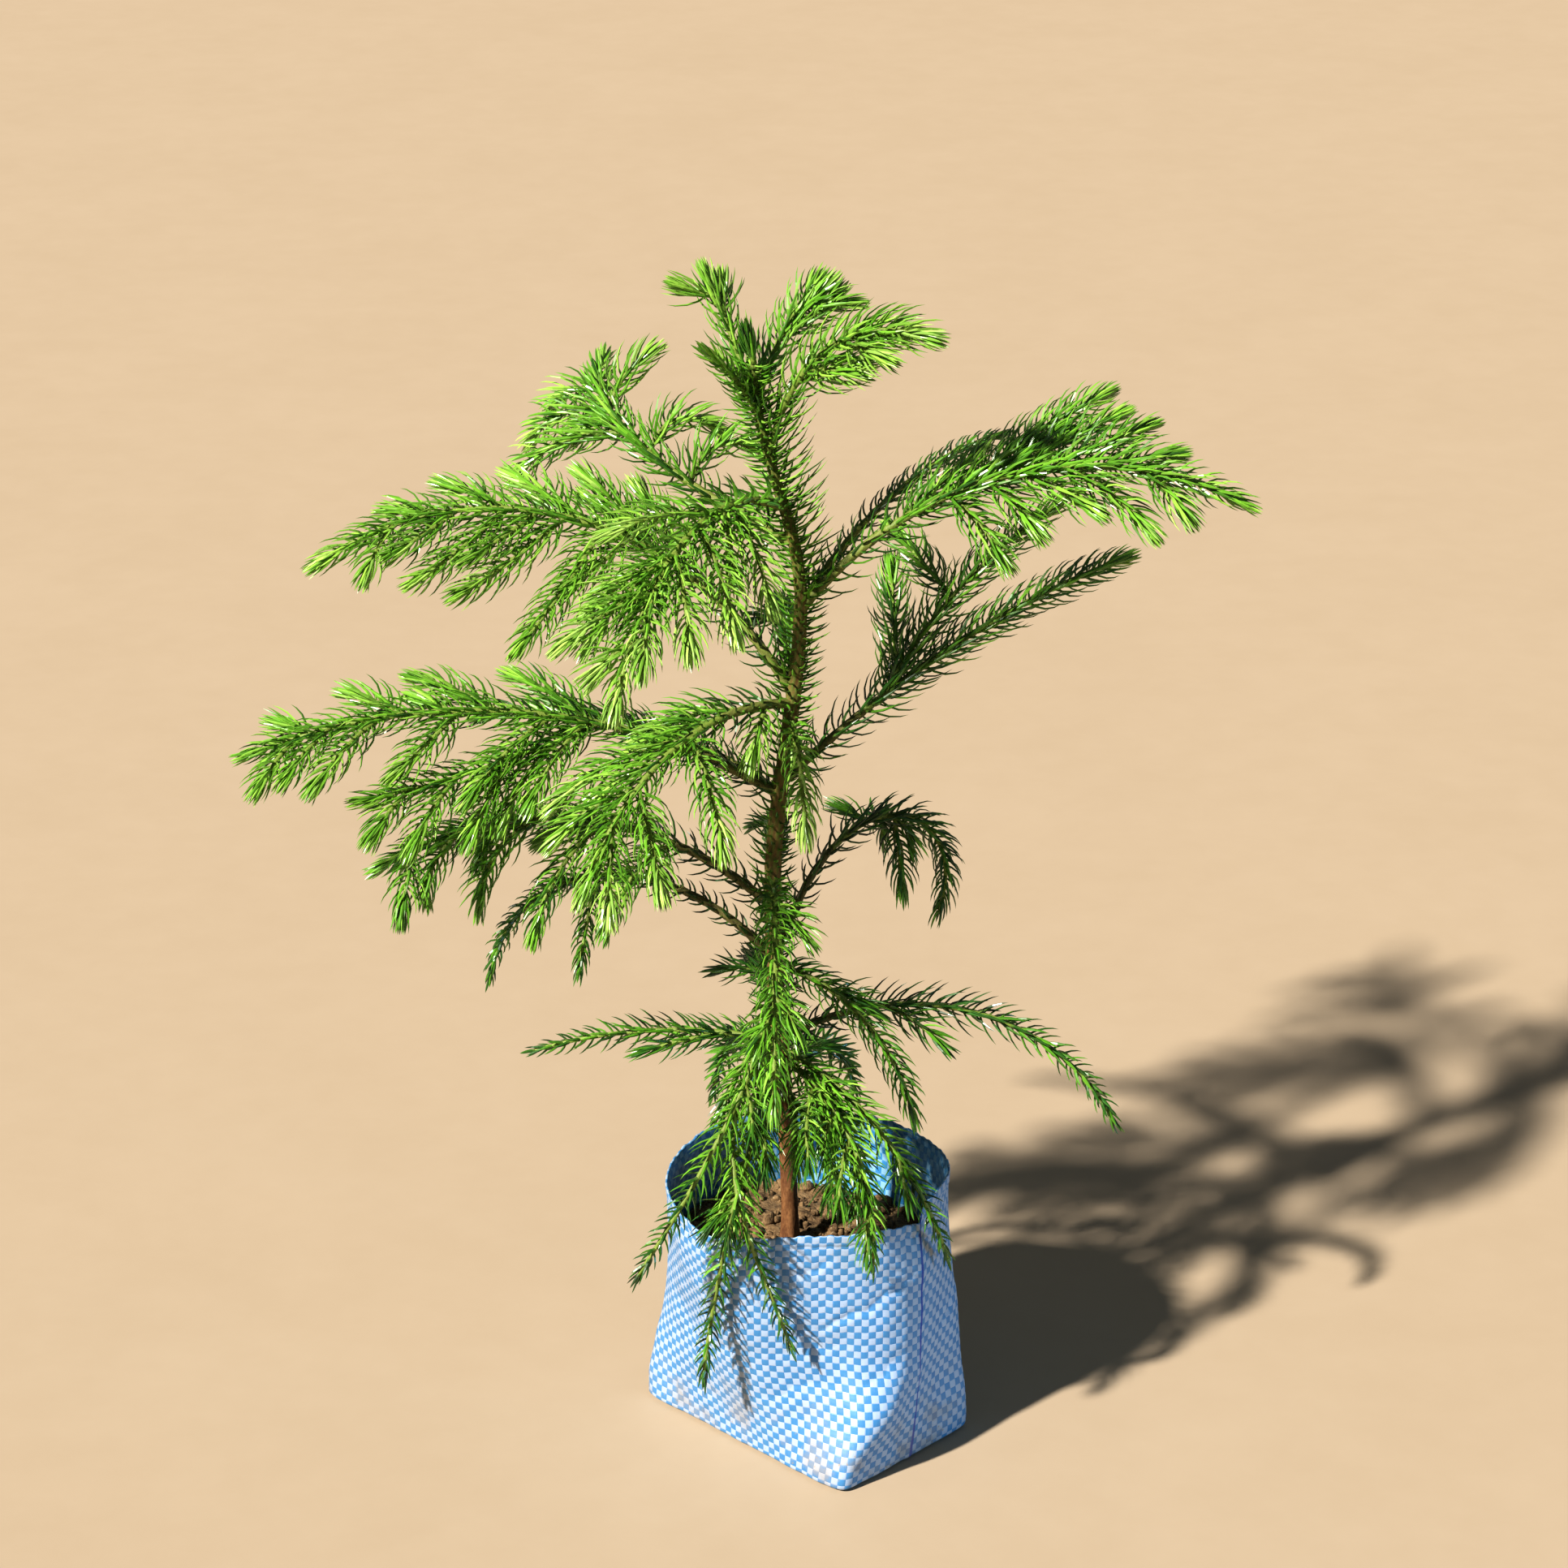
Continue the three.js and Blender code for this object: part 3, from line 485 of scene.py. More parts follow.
def makeBagMaterial():
    material, nodes, shader = newMaterial("wovenTape", 0.46)
    cloth, place = nodes.layout(), nodes.place()
    u, v, _ = nodes.split(cloth)
    cellU, cellV = nodes.maths("FLOOR", u), nodes.maths("FLOOR", v)
    partU, partV = nodes.maths("FRACT", u), nodes.maths("FRACT", v)
    parity = nodes.maths("FLOORED_MODULO", nodes.maths("ADD", cellU, cellV), 2.0)
    # each tape has its own tint, and fine drawn lines along it
    tapeU, tapeV = (nodes.add("ShaderNodeTexWhiteNoise", {"W": cell}, noise_dimensions="1D")[0]
                    for cell in (cellU, cellV))
    fibreU = nodes.noise(nodes.scaled(cloth, (9.0, 0.6, 1.0)), 1.0, 2.0)
    fibreV = nodes.noise(nodes.scaled(cloth, (0.6, 9.0, 1.0)), 1.0, 2.0)
    blueTone = nodes.maths("MULTIPLY_ADD", tapeU, 0.22, nodes.times(fibreU, 0.5))
    whiteTone = nodes.maths("MULTIPLY_ADD", tapeV, 0.3, nodes.times(fibreV, 0.4))
    r, g, b, _ = bag["blue"]
    blue = nodes.blend(blueTone, (r * 0.72, g * 0.8, b * 0.86, 1), (r * 1.7, g * 1.3, b * 1.1, 1))
    colour = nodes.blend(parity, blue, nodes.blend(whiteTone, bag["shade"], bag["white"]))
    # the gap beside each tape is in shade, and the cloth is rubbed pale in places
    edgeU, edgeV = (nodes.maths("MINIMUM", part, nodes.less(1.0, part)) for part in (partU, partV))
    edge = nodes.less(1.0, nodes.ramp(nodes.maths("MINIMUM", edgeU, edgeV), 0.0, 0.09))
    colour = nodes.blend(nodes.times(edge, 0.35), colour, bag["gap"])
    rubbed = nodes.times(nodes.ramp(nodes.noise(place, 48.0, 5.0, 0.65), 0.52, 0.72), 0.12)
    colour = nodes.blend(rubbed, colour, bag["rubbed"])
    # a dark line painted along the side seam as the shadow of its lapped edge, then the lining
    fromSeam = nodes.maths("MINIMUM", u, nodes.less(float(bag["tapes"]), u))
    wander = nodes.times(nodes.noise(place, 300.0, 2.0), 0.16)
    seam = nodes.less(1.0, nodes.ramp(nodes.maths("ADD", fromSeam, wander), 0.36, 0.5))
    colour = nodes.blend(seam, colour, bag["seamShadowBlue"])
    # painted shade: the inside of the cloth is tinted bluer and darker
    inside = nodes.ramp(v, bag["rows"] + 0.4, bag["rows"] + 0.6)
    colour = nodes.blend(inside, colour, nodes.blend(1.0, colour, bag["lining"], "MULTIPLY"))
    dusty = nodes.group(dustGroup, {"Base": colour, "Earth": bag["earth"], "Top": 0.05, "Amount": 0.5})
    rough = nodes.maths("MULTIPLY_ADD", fibreU, 0.16, nodes.maths("MULTIPLY_ADD", dusty["Mask"], 0.35, 0.36))
    nodes.link(dusty["Colour"], shader["Base Color"])
    nodes.link(rough, shader["Roughness"])
    fibre = nodes.add("ShaderNodeMix", {0: parity, 2: fibreU, 3: fibreV}, data_type="FLOAT")[0]
    nodes.bump(shader, nodes.less(fibre, edge), 0.35, 0.0002)
    return material


# the soil
soil = {
    "level": 81, "flat": 0.3, "lumps": 3, "edgeShare": 0.7, "inset": 1.8, "rings": 46, "round": 168,
    "skirt": (0.012, 0.2, 0.45, 0.64), "skirtInset": 4.5,
    # height and size of its clods, lumps and grains
    "clods": (1.5, 13), "clumps": (1.1, 6), "grains": (0.7, 2.6), "drop": 0.6,
    "crumbs": 620, "small": (0.7, 1.7), "large": (1.7, 3.6), "smallShare": 0.8, "rough": 0.42, "raise": 0.25, "seed": 5,
    "dark": (0.045, 0.024, 0.011, 1), "light": (0.26, 0.165, 0.08, 1), "grit": (0.34, 0.25, 0.15, 1),
}


def soilHeight(bearing, out):
    edge = soil["edgeShare"] * rimHeight(bearing)
    sides = mix(soil["level"], edge, (out - soil["flat"]) / (1 - soil["flat"]))
    lump = np.sin(np.radians(5 * bearing)) * np.cos(np.radians(3 * bearing + 200 * out))
    return np.where(out > soil["flat"], sides + soil["lumps"] * (1 - out) * lump, soil["level"])


# just inside the cloth at one height
def insideBag(bearing, up, inset):
    radius = wallRadius(bearing, up)
    return radius + wallSag(polar(radius, bearing, up * visibleRim(pastSeam(bearing, up)))) - inset


def soilTop(bearing, out):
    radius = insideBag(bearing, soil["edgeShare"], soil["inset"]) * out
    place = polar(radius, bearing, np.zeros_like(radius))
    (clod, clodSize), (clump, clumpSize), (grain, grainSize) = soil["clods"], soil["clumps"], soil["grains"]
    crumble = clod * lumps(place, clodSize, 1) + clump * np.abs(lumps(place, clumpSize, 2))
    crumble = crumble + grain * lumps(place, grainSize, 4)
    return polar(radius, bearing, soilHeight(bearing, out) + crumble - soil["drop"])


def makeSoil(material):
    bearing = np.linspace(0, 360, soil["round"], endpoint=False)
    count = len(bearing)
    rings = [polar(insideBag(bearing, up, soil["skirtInset"]), bearing, np.full(count, up * bag["rimHeight"]))
             for up in soil["skirt"]]
    rings += [soilTop(bearing, np.full(count, out)) for out in np.linspace(1, 0.01, soil["rings"])]
    points = np.concatenate(rings + [[rings[0].mean(axis=0)], [rings[-1].mean(axis=0)]])
    last = len(rings) * count
    tris = np.concatenate([fanFaces(0, count, last, False), fanFaces(last - count, count, last + 1, True)])
    makePiece("pottingSoil", points, [ringFaces(len(rings), count), tris], material, ["soil"])


# loose crumbs, half sunk in the surface
def makeCrumbs(material):
    ball = bmesh.new()
    bmesh.ops.create_icosphere(ball, subdivisions=2, radius=1)
    shape = np.array([v.co for v in ball.verts])
    faces = np.array([[v.index for v in f.verts] for f in ball.faces])
    ball.free()
    draw = np.random.default_rng(soil["seed"])
    points, tris = [], []
    for i in range(soil["crumbs"]):
        bearing, out = draw.uniform(0, 360), math.sqrt(draw.uniform(0.01, 0.95))
        size = draw.uniform(*soil["small" if draw.random() < soil["smallShare"] else "large"])
        stretch = size * draw.uniform(0.6, 1.15, 3)
        body = shape * (1 + soil["rough"] * lumps(shape + i * 3.7, 0.8, 6)[:, None]) * stretch
        turn = draw.uniform(0, 2 * np.pi)
        spin = np.array([[math.cos(turn), -math.sin(turn), 0], [math.sin(turn), math.cos(turn), 0], [0, 0, 1]])
        place = soilTop(np.array([bearing]), np.array([out]))[0]
        points.append(body @ spin.T + place + np.array([0, 0, soil["raise"] * size]))
        tris.append(faces + i * len(shape))
    makePiece("soilCrumbs", np.concatenate(points), [np.concatenate(tris)], material)


def makeSoilMaterial():
    material, nodes, shader = newMaterial("crumblyEarth", 0.95, 0.2)
    coarse = nodes.group(mottleGroup, {"Dark": soil["dark"], "Light": soil["light"], "Size": 130.0, "Sharpness": 0.16})
    grit = nodes.noise(nodes.place(), 900.0, 2.0)
    colour = nodes.blend(nodes.ramp(grit, 0.62, 0.74), coarse["Colour"], soil["grit"])
    nodes.link(colour, shader["Base Color"])
    nodes.bump(shader, nodes.maths("ADD", coarse["Height"], nodes.times(grit, 0.5)), 0.8, 0.0012)
    return material


# the trunk
trunk = {
    "bends": [(-6, -3, 81.3), (-13, 0, 240), (-2, 2, 363), (-20, 0, 458)],
    "footRadius": 3.8, "tipRadius": 1.3, "taperPower": 2.2, "flare": 0.9, "flareHeight": 7,
    "sunk": 2.5, "pastTip": 2.4, "sides": 40, "step": 0.9, "slim": 0.88, "relief": 0.22,
    "ridges": 4, "ridgeDepth": 0.7, "ridgeHeight": 6,
    # leaf cushions: depth, length below and above the leaf, half width in radians
    "cushion": 0.55, "cushionBelow": 4.2, "cushionAbove": 1.4, "cushionWidth": 0.3,
    "greenCushions": (130, 260), "greenTop": (340, 440), "greenMost": 0.85,
    "brown": (0.1, 0.036, 0.012, 1), "pale": (0.24, 0.11, 0.04, 1), "green": (0.1, 0.15, 0.022, 1),
}
footHeight, tipHeight = trunk["bends"][0][2], trunk["bends"][-1][2]


def trunkPoint(z):
    bends = trunk["bends"]
    upper = next((i for i, bend in enumerate(bends) if i > 0 and bend[2] >= z), len(bends) - 1)
    low, high = bends[upper - 1], bends[upper]
    share = float(smoothStep(z, low[2], high[2]))
    return np.array([mix(low[0], high[0], share), mix(low[1], high[1], share), z])


def trunkRadius(z):
    share = np.clip((z - footHeight) / (tipHeight - footHeight), 0, 1)
    taper = mix(trunk["footRadius"], trunk["tipRadius"], share ** trunk["taperPower"])
    return taper + trunk["flare"] * np.exp(-np.maximum(z - footHeight, 0) / trunk["flareHeight"])


def distanceFromTrunk(points):
    heights = np.linspace(footHeight, tipHeight, 200)
    axis = np.array([trunkPoint(z)[:2] for z in heights])
    x, y = (np.interp(points[:, 2], heights, axis[:, k]) for k in range(2))
    return np.hypot(points[:, 0] - x, points[:, 1] - y) - trunkRadius(points[:, 2])


# boughs: stems as in the solids; then tone from dark to light green, how much the ends brighten, and the width of
# the brush of needles
boughFields = "name height bearing rise droop swerve length radius limb tone fresh brush".split()
boughRows = [
    ("low_left", 196, 246, -18, 70, -40, 138, 1.5, 0, 0.62, -0.36, 0.8),
    ("low_front_left", 170, 250, -24, 64, -8, 152, 1.5, 0, 0.62, -0.4, 0.8),
    ("low_front", 174, 238, -18, 70, 88, 136, 1.5, 0, 0.64, -0.4, 0.8),
    ("low_right", 169, 327, -5, 75, -2, 120, 1.5, 0, 0.6, -0.32, 0.8),
    ("low_front_right", 165, 302, -4, 78, -4, 106, 1.5, 0, 0.64, -0.24, 0.8),
    ("low_inner", 152, 318, -30, 45, 0, 58, 1.2, 0, 0.66, 0.0, 0.8),
    ("low_back", 160, 66, 6, 76, 0, 98, 1.4, 0, 0.4, 0.0, 0.8),
    ("low_back_left", 165, 130, 6, 76, 0, 104, 1.4, 0, 0.36, 0.0, 0.76),
    ("second_left", 176, 168, 8, 36, 4, 103, 1.4, 0, 0.34, 0.0, 0.72),
    ("second_front_right", 205, 318, 14, 100, 6, 92, 1.4, 0, 0.42, 0.0, 0.8),
    ("second_right", 178, 4, 28, 94, -4, 164, 1.5, 36, 0.3, 0.1, 0.84),
    ("second_back", 184, 98, 20, 70, 0, 96, 1.4, 0, 0.34, 0.0, 0.8),
    ("third_left", 208, 166, 46, 118, 0, 152, 1.7, 44, 0.34, 0.06, 0.56),
    ("third_far_left", 240, 180, 42, 78, 0, 170, 1.8, 46, 0.46, 0.13, 0.86),
    ("third_back_right", 235, 65, 60, 158, -68, 134, 1.6, 38, 0.3, 0.1, 0.8),
    ("third_front", 243, 272, 10, 82, -4, 120, 1.5, 0, 0.54, 0.05, 0.88),
    ("third_back", 248, 98, 24, 66, 0, 106, 1.4, 0, 0.3, 0.0, 0.56),
    ("fourth_left", 280, 186, 36, 60, 2, 220, 1.9, 52, 0.52, 0.14, 0.92),
    ("fourth_front_left", 319, 218, 16, 74, 16, 132, 1.9, 36, 0.58, 0.28, 0.98),
    ("fourth_front", 312, 278, 4, 82, 0, 58, 1.2, 0, 0.72, 0.3, 0.9),
    ("fourth_right", 288, 30, 33, 22, 2, 182, 1.8, 44, 0.42, 0.26, 1.0),
    ("fourth_back", 324, 94, 26, 64, 0, 116, 1.4, 0, 0.34, 0.1, 0.72),
    ("fourth_back_left", 295, 142, 22, 48, 6, 160, 1.7, 42, 0.36, 0.15, 0.66),
    ("fifth_right", 364, 4, 48, 76, 0, 188, 1.9, 42, 0.54, 0.16, 1.0),
    ("fifth_left", 335, 163, 57, 90, 32, 214, 1.9, 56, 0.58, 0.16, 0.98),
    ("fifth_front_left", 401, 238, 30, 92, 12, 162, 1.9, 38, 0.64, 0.3, 1.0),
    ("fifth_back_left", 392, 165, 30, 30, -85, 150, 1.8, 46, 0.57, 0.22, 0.95),
    ("fifth_back_right", 373, 44, 34, 44, 0, 122, 1.6, 38, 0.26, 0.1, 0.5),
    ("top_left", 435, 132, 66, 14, 0, 62, 1.3, 0, 0.55, 0.2, 0.92),
    ("top_back", 446, 62, 50, 22, 0, 60, 1.3, 0, 0.53, 0.18, 0.95),
    ("top_right", 444, 336, 66, 78, 0, 84, 1.3, 0, 0.62, 0.2, 1.15),
    ("top_front_left", 438, 216, 64, 24, 0, 40, 1.2, 0, 0.5, 0.2, 0.72),
]
boughs = [dict(zip(boughFields, row)) for row in boughRows]

# how the foot of a stem slides along the trunk, and its middle and end bend to the right and up
nudges = {
    "low_left": (12, 13, -2, -9, 2), "low_front_left": (0, 3, 0, 0, 3), "low_front": (0, -8, 0, 6, -5),
    "low_right": (0, -4, 0, 0, 0), "low_front_right": (0, 5, 0, 0, 0), "low_back_left": (0, 8, 0, 24, 0),
    "second_left": (-4, 0, -2, -4, 0), "second_right": (-5, 0, 0, 0, 0), "second_front_right": (0, 0, 0, 5, 0),
    "third_left": (0, -4, 8, 3, 5), "third_far_left": (-9, 0, 0, 0, 0), "third_back_right": (-28, 8, 4, -2, -1),
    "third_back": (0, 5, -5, 14, -16), "fourth_left": (0, 0, 0, 0, 6), "fourth_right": (-3, 0, 0, -4, -8),
    "fourth_front_left": (0, 0, 0, 0, -3), "fourth_back_left": (-14, 0, -10, 0, -14),
    "fifth_right": (-6, 0, 4, 2, 3), "fifth_left": (-13, -1, 0, 0, 2), "fifth_front_left": (0, 0, 0, 0, 6),
    "fifth_back_left": (-6, -4, -5, -7, -5), "fifth_back_right": (-13, 0, 0, 0, 5), "top_back": (0, 0, 0, 2, -3),
    "top_right": (-22, 0, 2, 3, -1),
}

# a seed, then for the left and the right side: how many twigs, length, hang, tilt, first and last place past the limb
sideTwigs = {
    "low_left": (1, (2, 26, 30, 0, 0.0, 0.6), None),
    "low_front_left": (2, (1, 24, 30, 0, 0.1, 0.6), (1, 24, 30, 0, 0.1, 0.6)),
    "low_front": (3, (1, 40, 36, 0, 0.1, 0.6), (1, 26, 36, 0, 0.1, 0.7)),
    "low_right": (4, None, (1, 34, 34, 0, 0.05, 0.8)),
    "low_front_right": (5, (1, 28, 40, 0, 0.1, 0.8), (3, 42, 40, 0, 0.0, 0.8)),
    "low_inner": (6, (1, 28, 50, 0, 0.0, 0.8), (2, 28, 50, 0, 0.0, 0.8)),
    "low_back": (7, (1, 26, 30, 0, 0.1, 0.9), (1, 26, 30, 0, 0.1, 0.9)),
    "second_front_right": (10, (1, 24, 40, 0, 0.1, 0.9), (1, 24, 40, 0, 0.1, 0.9)),
    "second_back": (12, (1, 30, 40, 0, 0.1, 0.9), (1, 30, 40, 0, 0.1, 0.9)),
    "third_far_left": (14, (4, 56, 84, -6, -0.06, 0.84), (4, 36, 40, -10, 0.08, 0.9)),
    "third_back_right": (15, (1, 22, 95, 0, 0.0, 0.8), (2, 22, 95, 0, 0.0, 0.8)),
    "third_front": (16, (2, 26, 40, 0, 0.1, 0.9), (1, 26, 40, 0, 0.1, 0.9)),
    "third_back": (31, (1, 22, 40, 0, 0.3, 0.9), (1, 22, 40, 0, 0.3, 0.9)),
    "fourth_left": (17, None, (4, 46, 8, 10, 0.02, 0.9)),
    "fourth_front_left": (18, None, (3, 54, 36, -4, -0.32, 0.6)),
    "fourth_back": (32, (1, 22, 40, 0, 0.3, 0.9), (1, 22, 40, 0, 0.3, 0.9)),
    "fifth_left": (22, None, (5, 42, 6, 4, 0.02, 0.9)),
    "fifth_front_left": (23, None, (3, 40, 30, 6, -0.1, 0.86)),
    "fifth_back_left": (24, (3, 58, 56, -4, 0.3, 0.82), None),
    "top_left": (25, None, (1, 34, -10, 0, 0.5, 0.8)),
    "top_back": (26, None, (3, 34, -10, 0, 0.3, 0.9)),
    "top_right": (27, (2, 30, 10, 0, 0.2, 0.8), (3, 32, 30, 0, 0.2, 0.8)),
}

# twigs placed one by one: share along the stem, bearing, rise, droop and length; where given, swerve and the number of
# the earlier twig that it grows from
ownTwigs = {
    "low_front": [(0.2, 290, -34, 44, 30)],
    "low_inner": [(0.12, 276, -40, 40, 24)],
    "low_front_right": [(0.1, 318, -20, 60, 58), (0.2, 286, -30, 50, 36)],
    "low_front_left": [(0.1, 262, -30, 50, 44)],
    "low_right": [(0.2, 300, -24, 50, 44)],
    "low_left": [(0.12, 258, -40, 40, 48), (0.25, 215, -40, 30, 36)],
    "second_right": [(0.27, -36, -2, 34, 32)],
    "second_left": [(0.2, 188, -2, 16, 38)],
    "third_far_left": [(0.9, 258, -30, 30, 30)],
    "third_left": [(0.5, 256, -28, 36, 44)],
    "third_back_right": [(0.42, 150, 24, 30, 15), (0.52, 290, -60, 24, 33)],
    "fourth_right": [(0.3, 50, 44, 16, 108, -30), (0.34, 92, 36, 6, 60), (0.46, 125, 24, 4, 44, 0, 0)],
    "fourth_left": [
        (0.36, 200, -18, -14, 99), (0.35, 232, -24, 36, 40, 0, 0), (0.6, 232, -20, 36, 36, 0, 0),
        (0.8, 230, -16, 30, 26, 0, 0), (0.2, 228, -24, 36, 40, 0, 0), (0.38, 232, -14, 40, 44),
        (0.44, 222, -10, 36, 52), (0.61, 224, -30, -6, 38), (0.75, 230, -10, 30, 42), (0.84, 232, -12, 28, 30),
        (0.9, 235, -14, 28, 29)],
    "fourth_front_left": [
        (0.1, 250, -30, 30, 26), (0.4, 288, -14, 48, 54), (0.64, 286, -26, 30, 46), (0.78, 268, -40, 24, 36)],
    "fifth_front_left": [
        (0.55, 226, -10, 36, 52), (0.68, 205, -8, 30, 40), (0.64, 262, -8, 44, 44), (0.54, 279, -10, 44, 48),
        (0.42, 290, -12, 46, 52), (0.26, 294, -14, 46, 48), (0.3, 280, -12, 44, 34)],
    "fifth_left": [
        (0.34, 138, 42, 24, 48), (0.28, 128, 52, 24, 42), (0.45, 232, -40, -12, 62), (0.52, 214, -31, -14, 54),
        (0.57, 218, -24, -10, 36), (0.63, 218, -32, -14, 48), (0.72, 222, -22, -10, 34), (0.4, 218, -30, -10, 32),
        (0.84, 245, -14, 32, 27)],
    "fifth_right": [
        (0.38, 40, 24, 16, 84), (0.42, 38, 20, 8, 48), (0.47, 34, 19, 10, 62), (0.58, 30, 16, 10, 47),
        (0.68, 20, 6, 10, 33), (0.37, -50, -12, 36, 38), (0.51, -30, 0, 30, 37), (0.6, -36, -3, 40, 47),
        (0.27, 45, 26, 8, 46), (0.45, -40, -16, 30, 30), (0.77, -45, -14, 32, 28)],
    "fifth_back_left": [(0.3, 55, 70, 118, 40, -45), (0.45, 55, 68, 124, 38, -45), (0.68, 60, 60, 40, 30, -40)],
    "top_left": [(0.84, 186, 16, -8, 15)],
    "top_back": [(0.7, 5, 14, 20, 22)],
}

shoot = {
    "stride": 3, "stemTip": 0.75, "twigRadius": 1.05, "twigTip": 0.6, "twigReach": 0.9, "spare": 1.4, "shortest": 14,
    "rootSteps": 2, "endCut": 1.5,
    # side twigs: degrees from the stem, degrees they close in and wander, and how their length changes along it
    "splay": 50, "ownSplay": {"top_right": 26, "top_back": 34, "low_inner": 74}, "closeIn": 22, "jitter": 9,
    "stagger": 0.22, "lift": (-3, 7), "fullness": (0.42, 0.93), "taper": 1.35, "lengthJitter": (0.85, 1.15),
    # shorter twigs between them on sides that have at least so many
    "finerAmong": 3, "finerLength": 0.55, "finerFrom": 0.55,
    # sprays that lie close to the bag
    "hug": {"low_front_left", "low_front", "low_front_right", "low_right"}, "hugGap": 6, "hugRise": 14, "hugDepth": 30,
    "hugMost": 26, "hugWay": (0, 0.917, -0.399),
    "leader": {"bearing": 200, "rise": 80, "droop": 0, "swerve": 0, "length": 12}, "leaderRadii": (1.2, 0.6),
    "leaderLook": {"tone": 0.22, "fresh": 0.1, "brush": 0.7, "height": 460},
}


def growPath(start, limb):
    steps = math.ceil(limb["length"] / shoot["stride"])
    points = [np.array(start, float)]
    for i in range(steps):
        along = (i + 0.5) / steps
        way = heading(limb["bearing"] + limb["swerve"] * along, limb["rise"] - limb["droop"] * along)
        points.append(points[-1] + way * limb["length"] / steps)
    return np.array(points)


def pointsAlong(path, along):
    place = np.clip(along, 0, 1) * (len(path) - 1)
    index = np.arange(len(path))
    return np.stack([np.interp(place, index, path[:, axis]) for axis in range(3)], axis=-1)


def clearOfBag(points):
    bearing = bearingOf(points)
    rim = rimHeight(bearing) + 2
    radius = np.hypot(points[:, 0], points[:, 1])
    wall = clothRadius(bearing, np.clip(points[:, 2] / rim, 0, 1))
    inside = (radius < wall - 1 - bag["margin"]) & (points[:, 2] > soil["level"] + soil["lumps"] + bag["margin"])
    return (points[:, 2] > rim + bag["margin"]) | inside | (radius > wall + bag["margin"])


# side twigs of a bough: long ones, and shorter ones in some of the spaces between them
def twigsOf(bough, path):
    name, begin, twigs, ownPaths = bough["name"], bough["limb"] / bough["length"], [], []
    splay = shoot["ownSplay"].get(name, shoot["splay"])
    seed, left, right = sideTwigs.get(name, (0, None, None))
    for side, row in ((1, left), (-1, right)):
        count, size, hang, tilt, first, last = row or (0, 0, 0, 0, 0, 0)
        for half in range(2 * count - 1):
            i, finer = half / 2, half % 2 == 1
            draw = seed * 61 + side * 17 + i * 3
            if finer and (count < shoot["finerAmong"] or chance(draw + 5) < shoot["finerFrom"]):
                continue
            spray = mix(first, last, (i + 0.5 - side * shoot["stagger"]) / count)
            along = mix(begin, 1, spray)
            wander = (2 * chance(draw) - 1) * shoot["jitter"]
            fullness = math.sin(math.pi * mix(*shoot["fullness"], spray)) ** shoot["taper"]
            length = size * fullness * mix(*shoot["lengthJitter"], chance(draw + 2))
            twigs.append({
                "start": pointsAlong(path, np.array([along]))[0],
                "bearing": bough["bearing"] + bough["swerve"] * along + side * (splay + wander),
                "rise": 0.5 * (bough["rise"] - bough["droop"] * along) + tilt + mix(*shoot["lift"], chance(draw + 1)),
                "droop": hang, "swerve": -side * shoot["closeIn"],
                "length": length * (shoot["finerLength"] if finer else 1),
            })
    for along, bearing, rise, droop, length, *more in ownTwigs.get(name, []):
        swerve, parent = more + [0, None][len(more):]
        start = pointsAlong(path if parent is None else ownPaths[parent], np.array([along]))[0]
        twigs.append({"start": start, "bearing": bearing, "rise": rise, "droop": droop, "swerve": swerve,
                      "length": length})
        ownPaths.append(growPath(start, twigs[-1]))
    return twigs


# the part of a twig that stays clear of other boughs and of the bag
def freePath(twig, others, reach):
    path = growPath(twig["start"], twig)
    away = np.linalg.norm(path[:, None] - others[None], axis=-1) - reach[None]
    bad = ~clearOfBag(path) | (away.min(axis=1) < shoot["twigRadius"] + shoot["spare"])
    bad[:shoot["rootSteps"]] = False
    free = int(np.argmax(bad)) if bad.any() else len(path)
    return path[:max(free, 2)], twig["length"] * (free - 1) / (len(path) - 1)


# small bends: the foot slides along the trunk, and the middle and the end give way
def nudged(path, bough):
    slide, middleX, middleZ, endX, endZ = nudges.get(bough["name"], (0, 0, 0, 0, 0))
    foot = trunkPoint(bough["height"] + slide) - trunkPoint(bough["height"])
    share = np.linspace(0, 1, len(path))[:, None]
    bend = np.array([middleX, 0, middleZ]) * 4 * share * (1 - share) + np.array([endX, 0, endZ]) * share ** 2
    return path + foot * (1 - share) ** 2 + bend


# sprays that hang over the rim in front lie close to the cloth
def hugBag(path, name):
    if name not in shoot["hug"]:
        return path
    bearing = bearingOf(path)
    rim = rimHeight(bearing)
    gap = np.hypot(path[:, 0], path[:, 1]) - clothRadius(bearing, np.clip(path[:, 2] / rim, 0, 1))
    share = smoothStep(rim + shoot["hugRise"] - path[:, 2], 0, shoot["hugDepth"])
    shift = share * np.maximum(gap - shoot["hugGap"], 0) / np.maximum(-np.sin(np.radians(bearing)), 0.6)
    return path + np.minimum(shift, shoot["hugMost"])[:, None] * np.array(shoot["hugWay"])


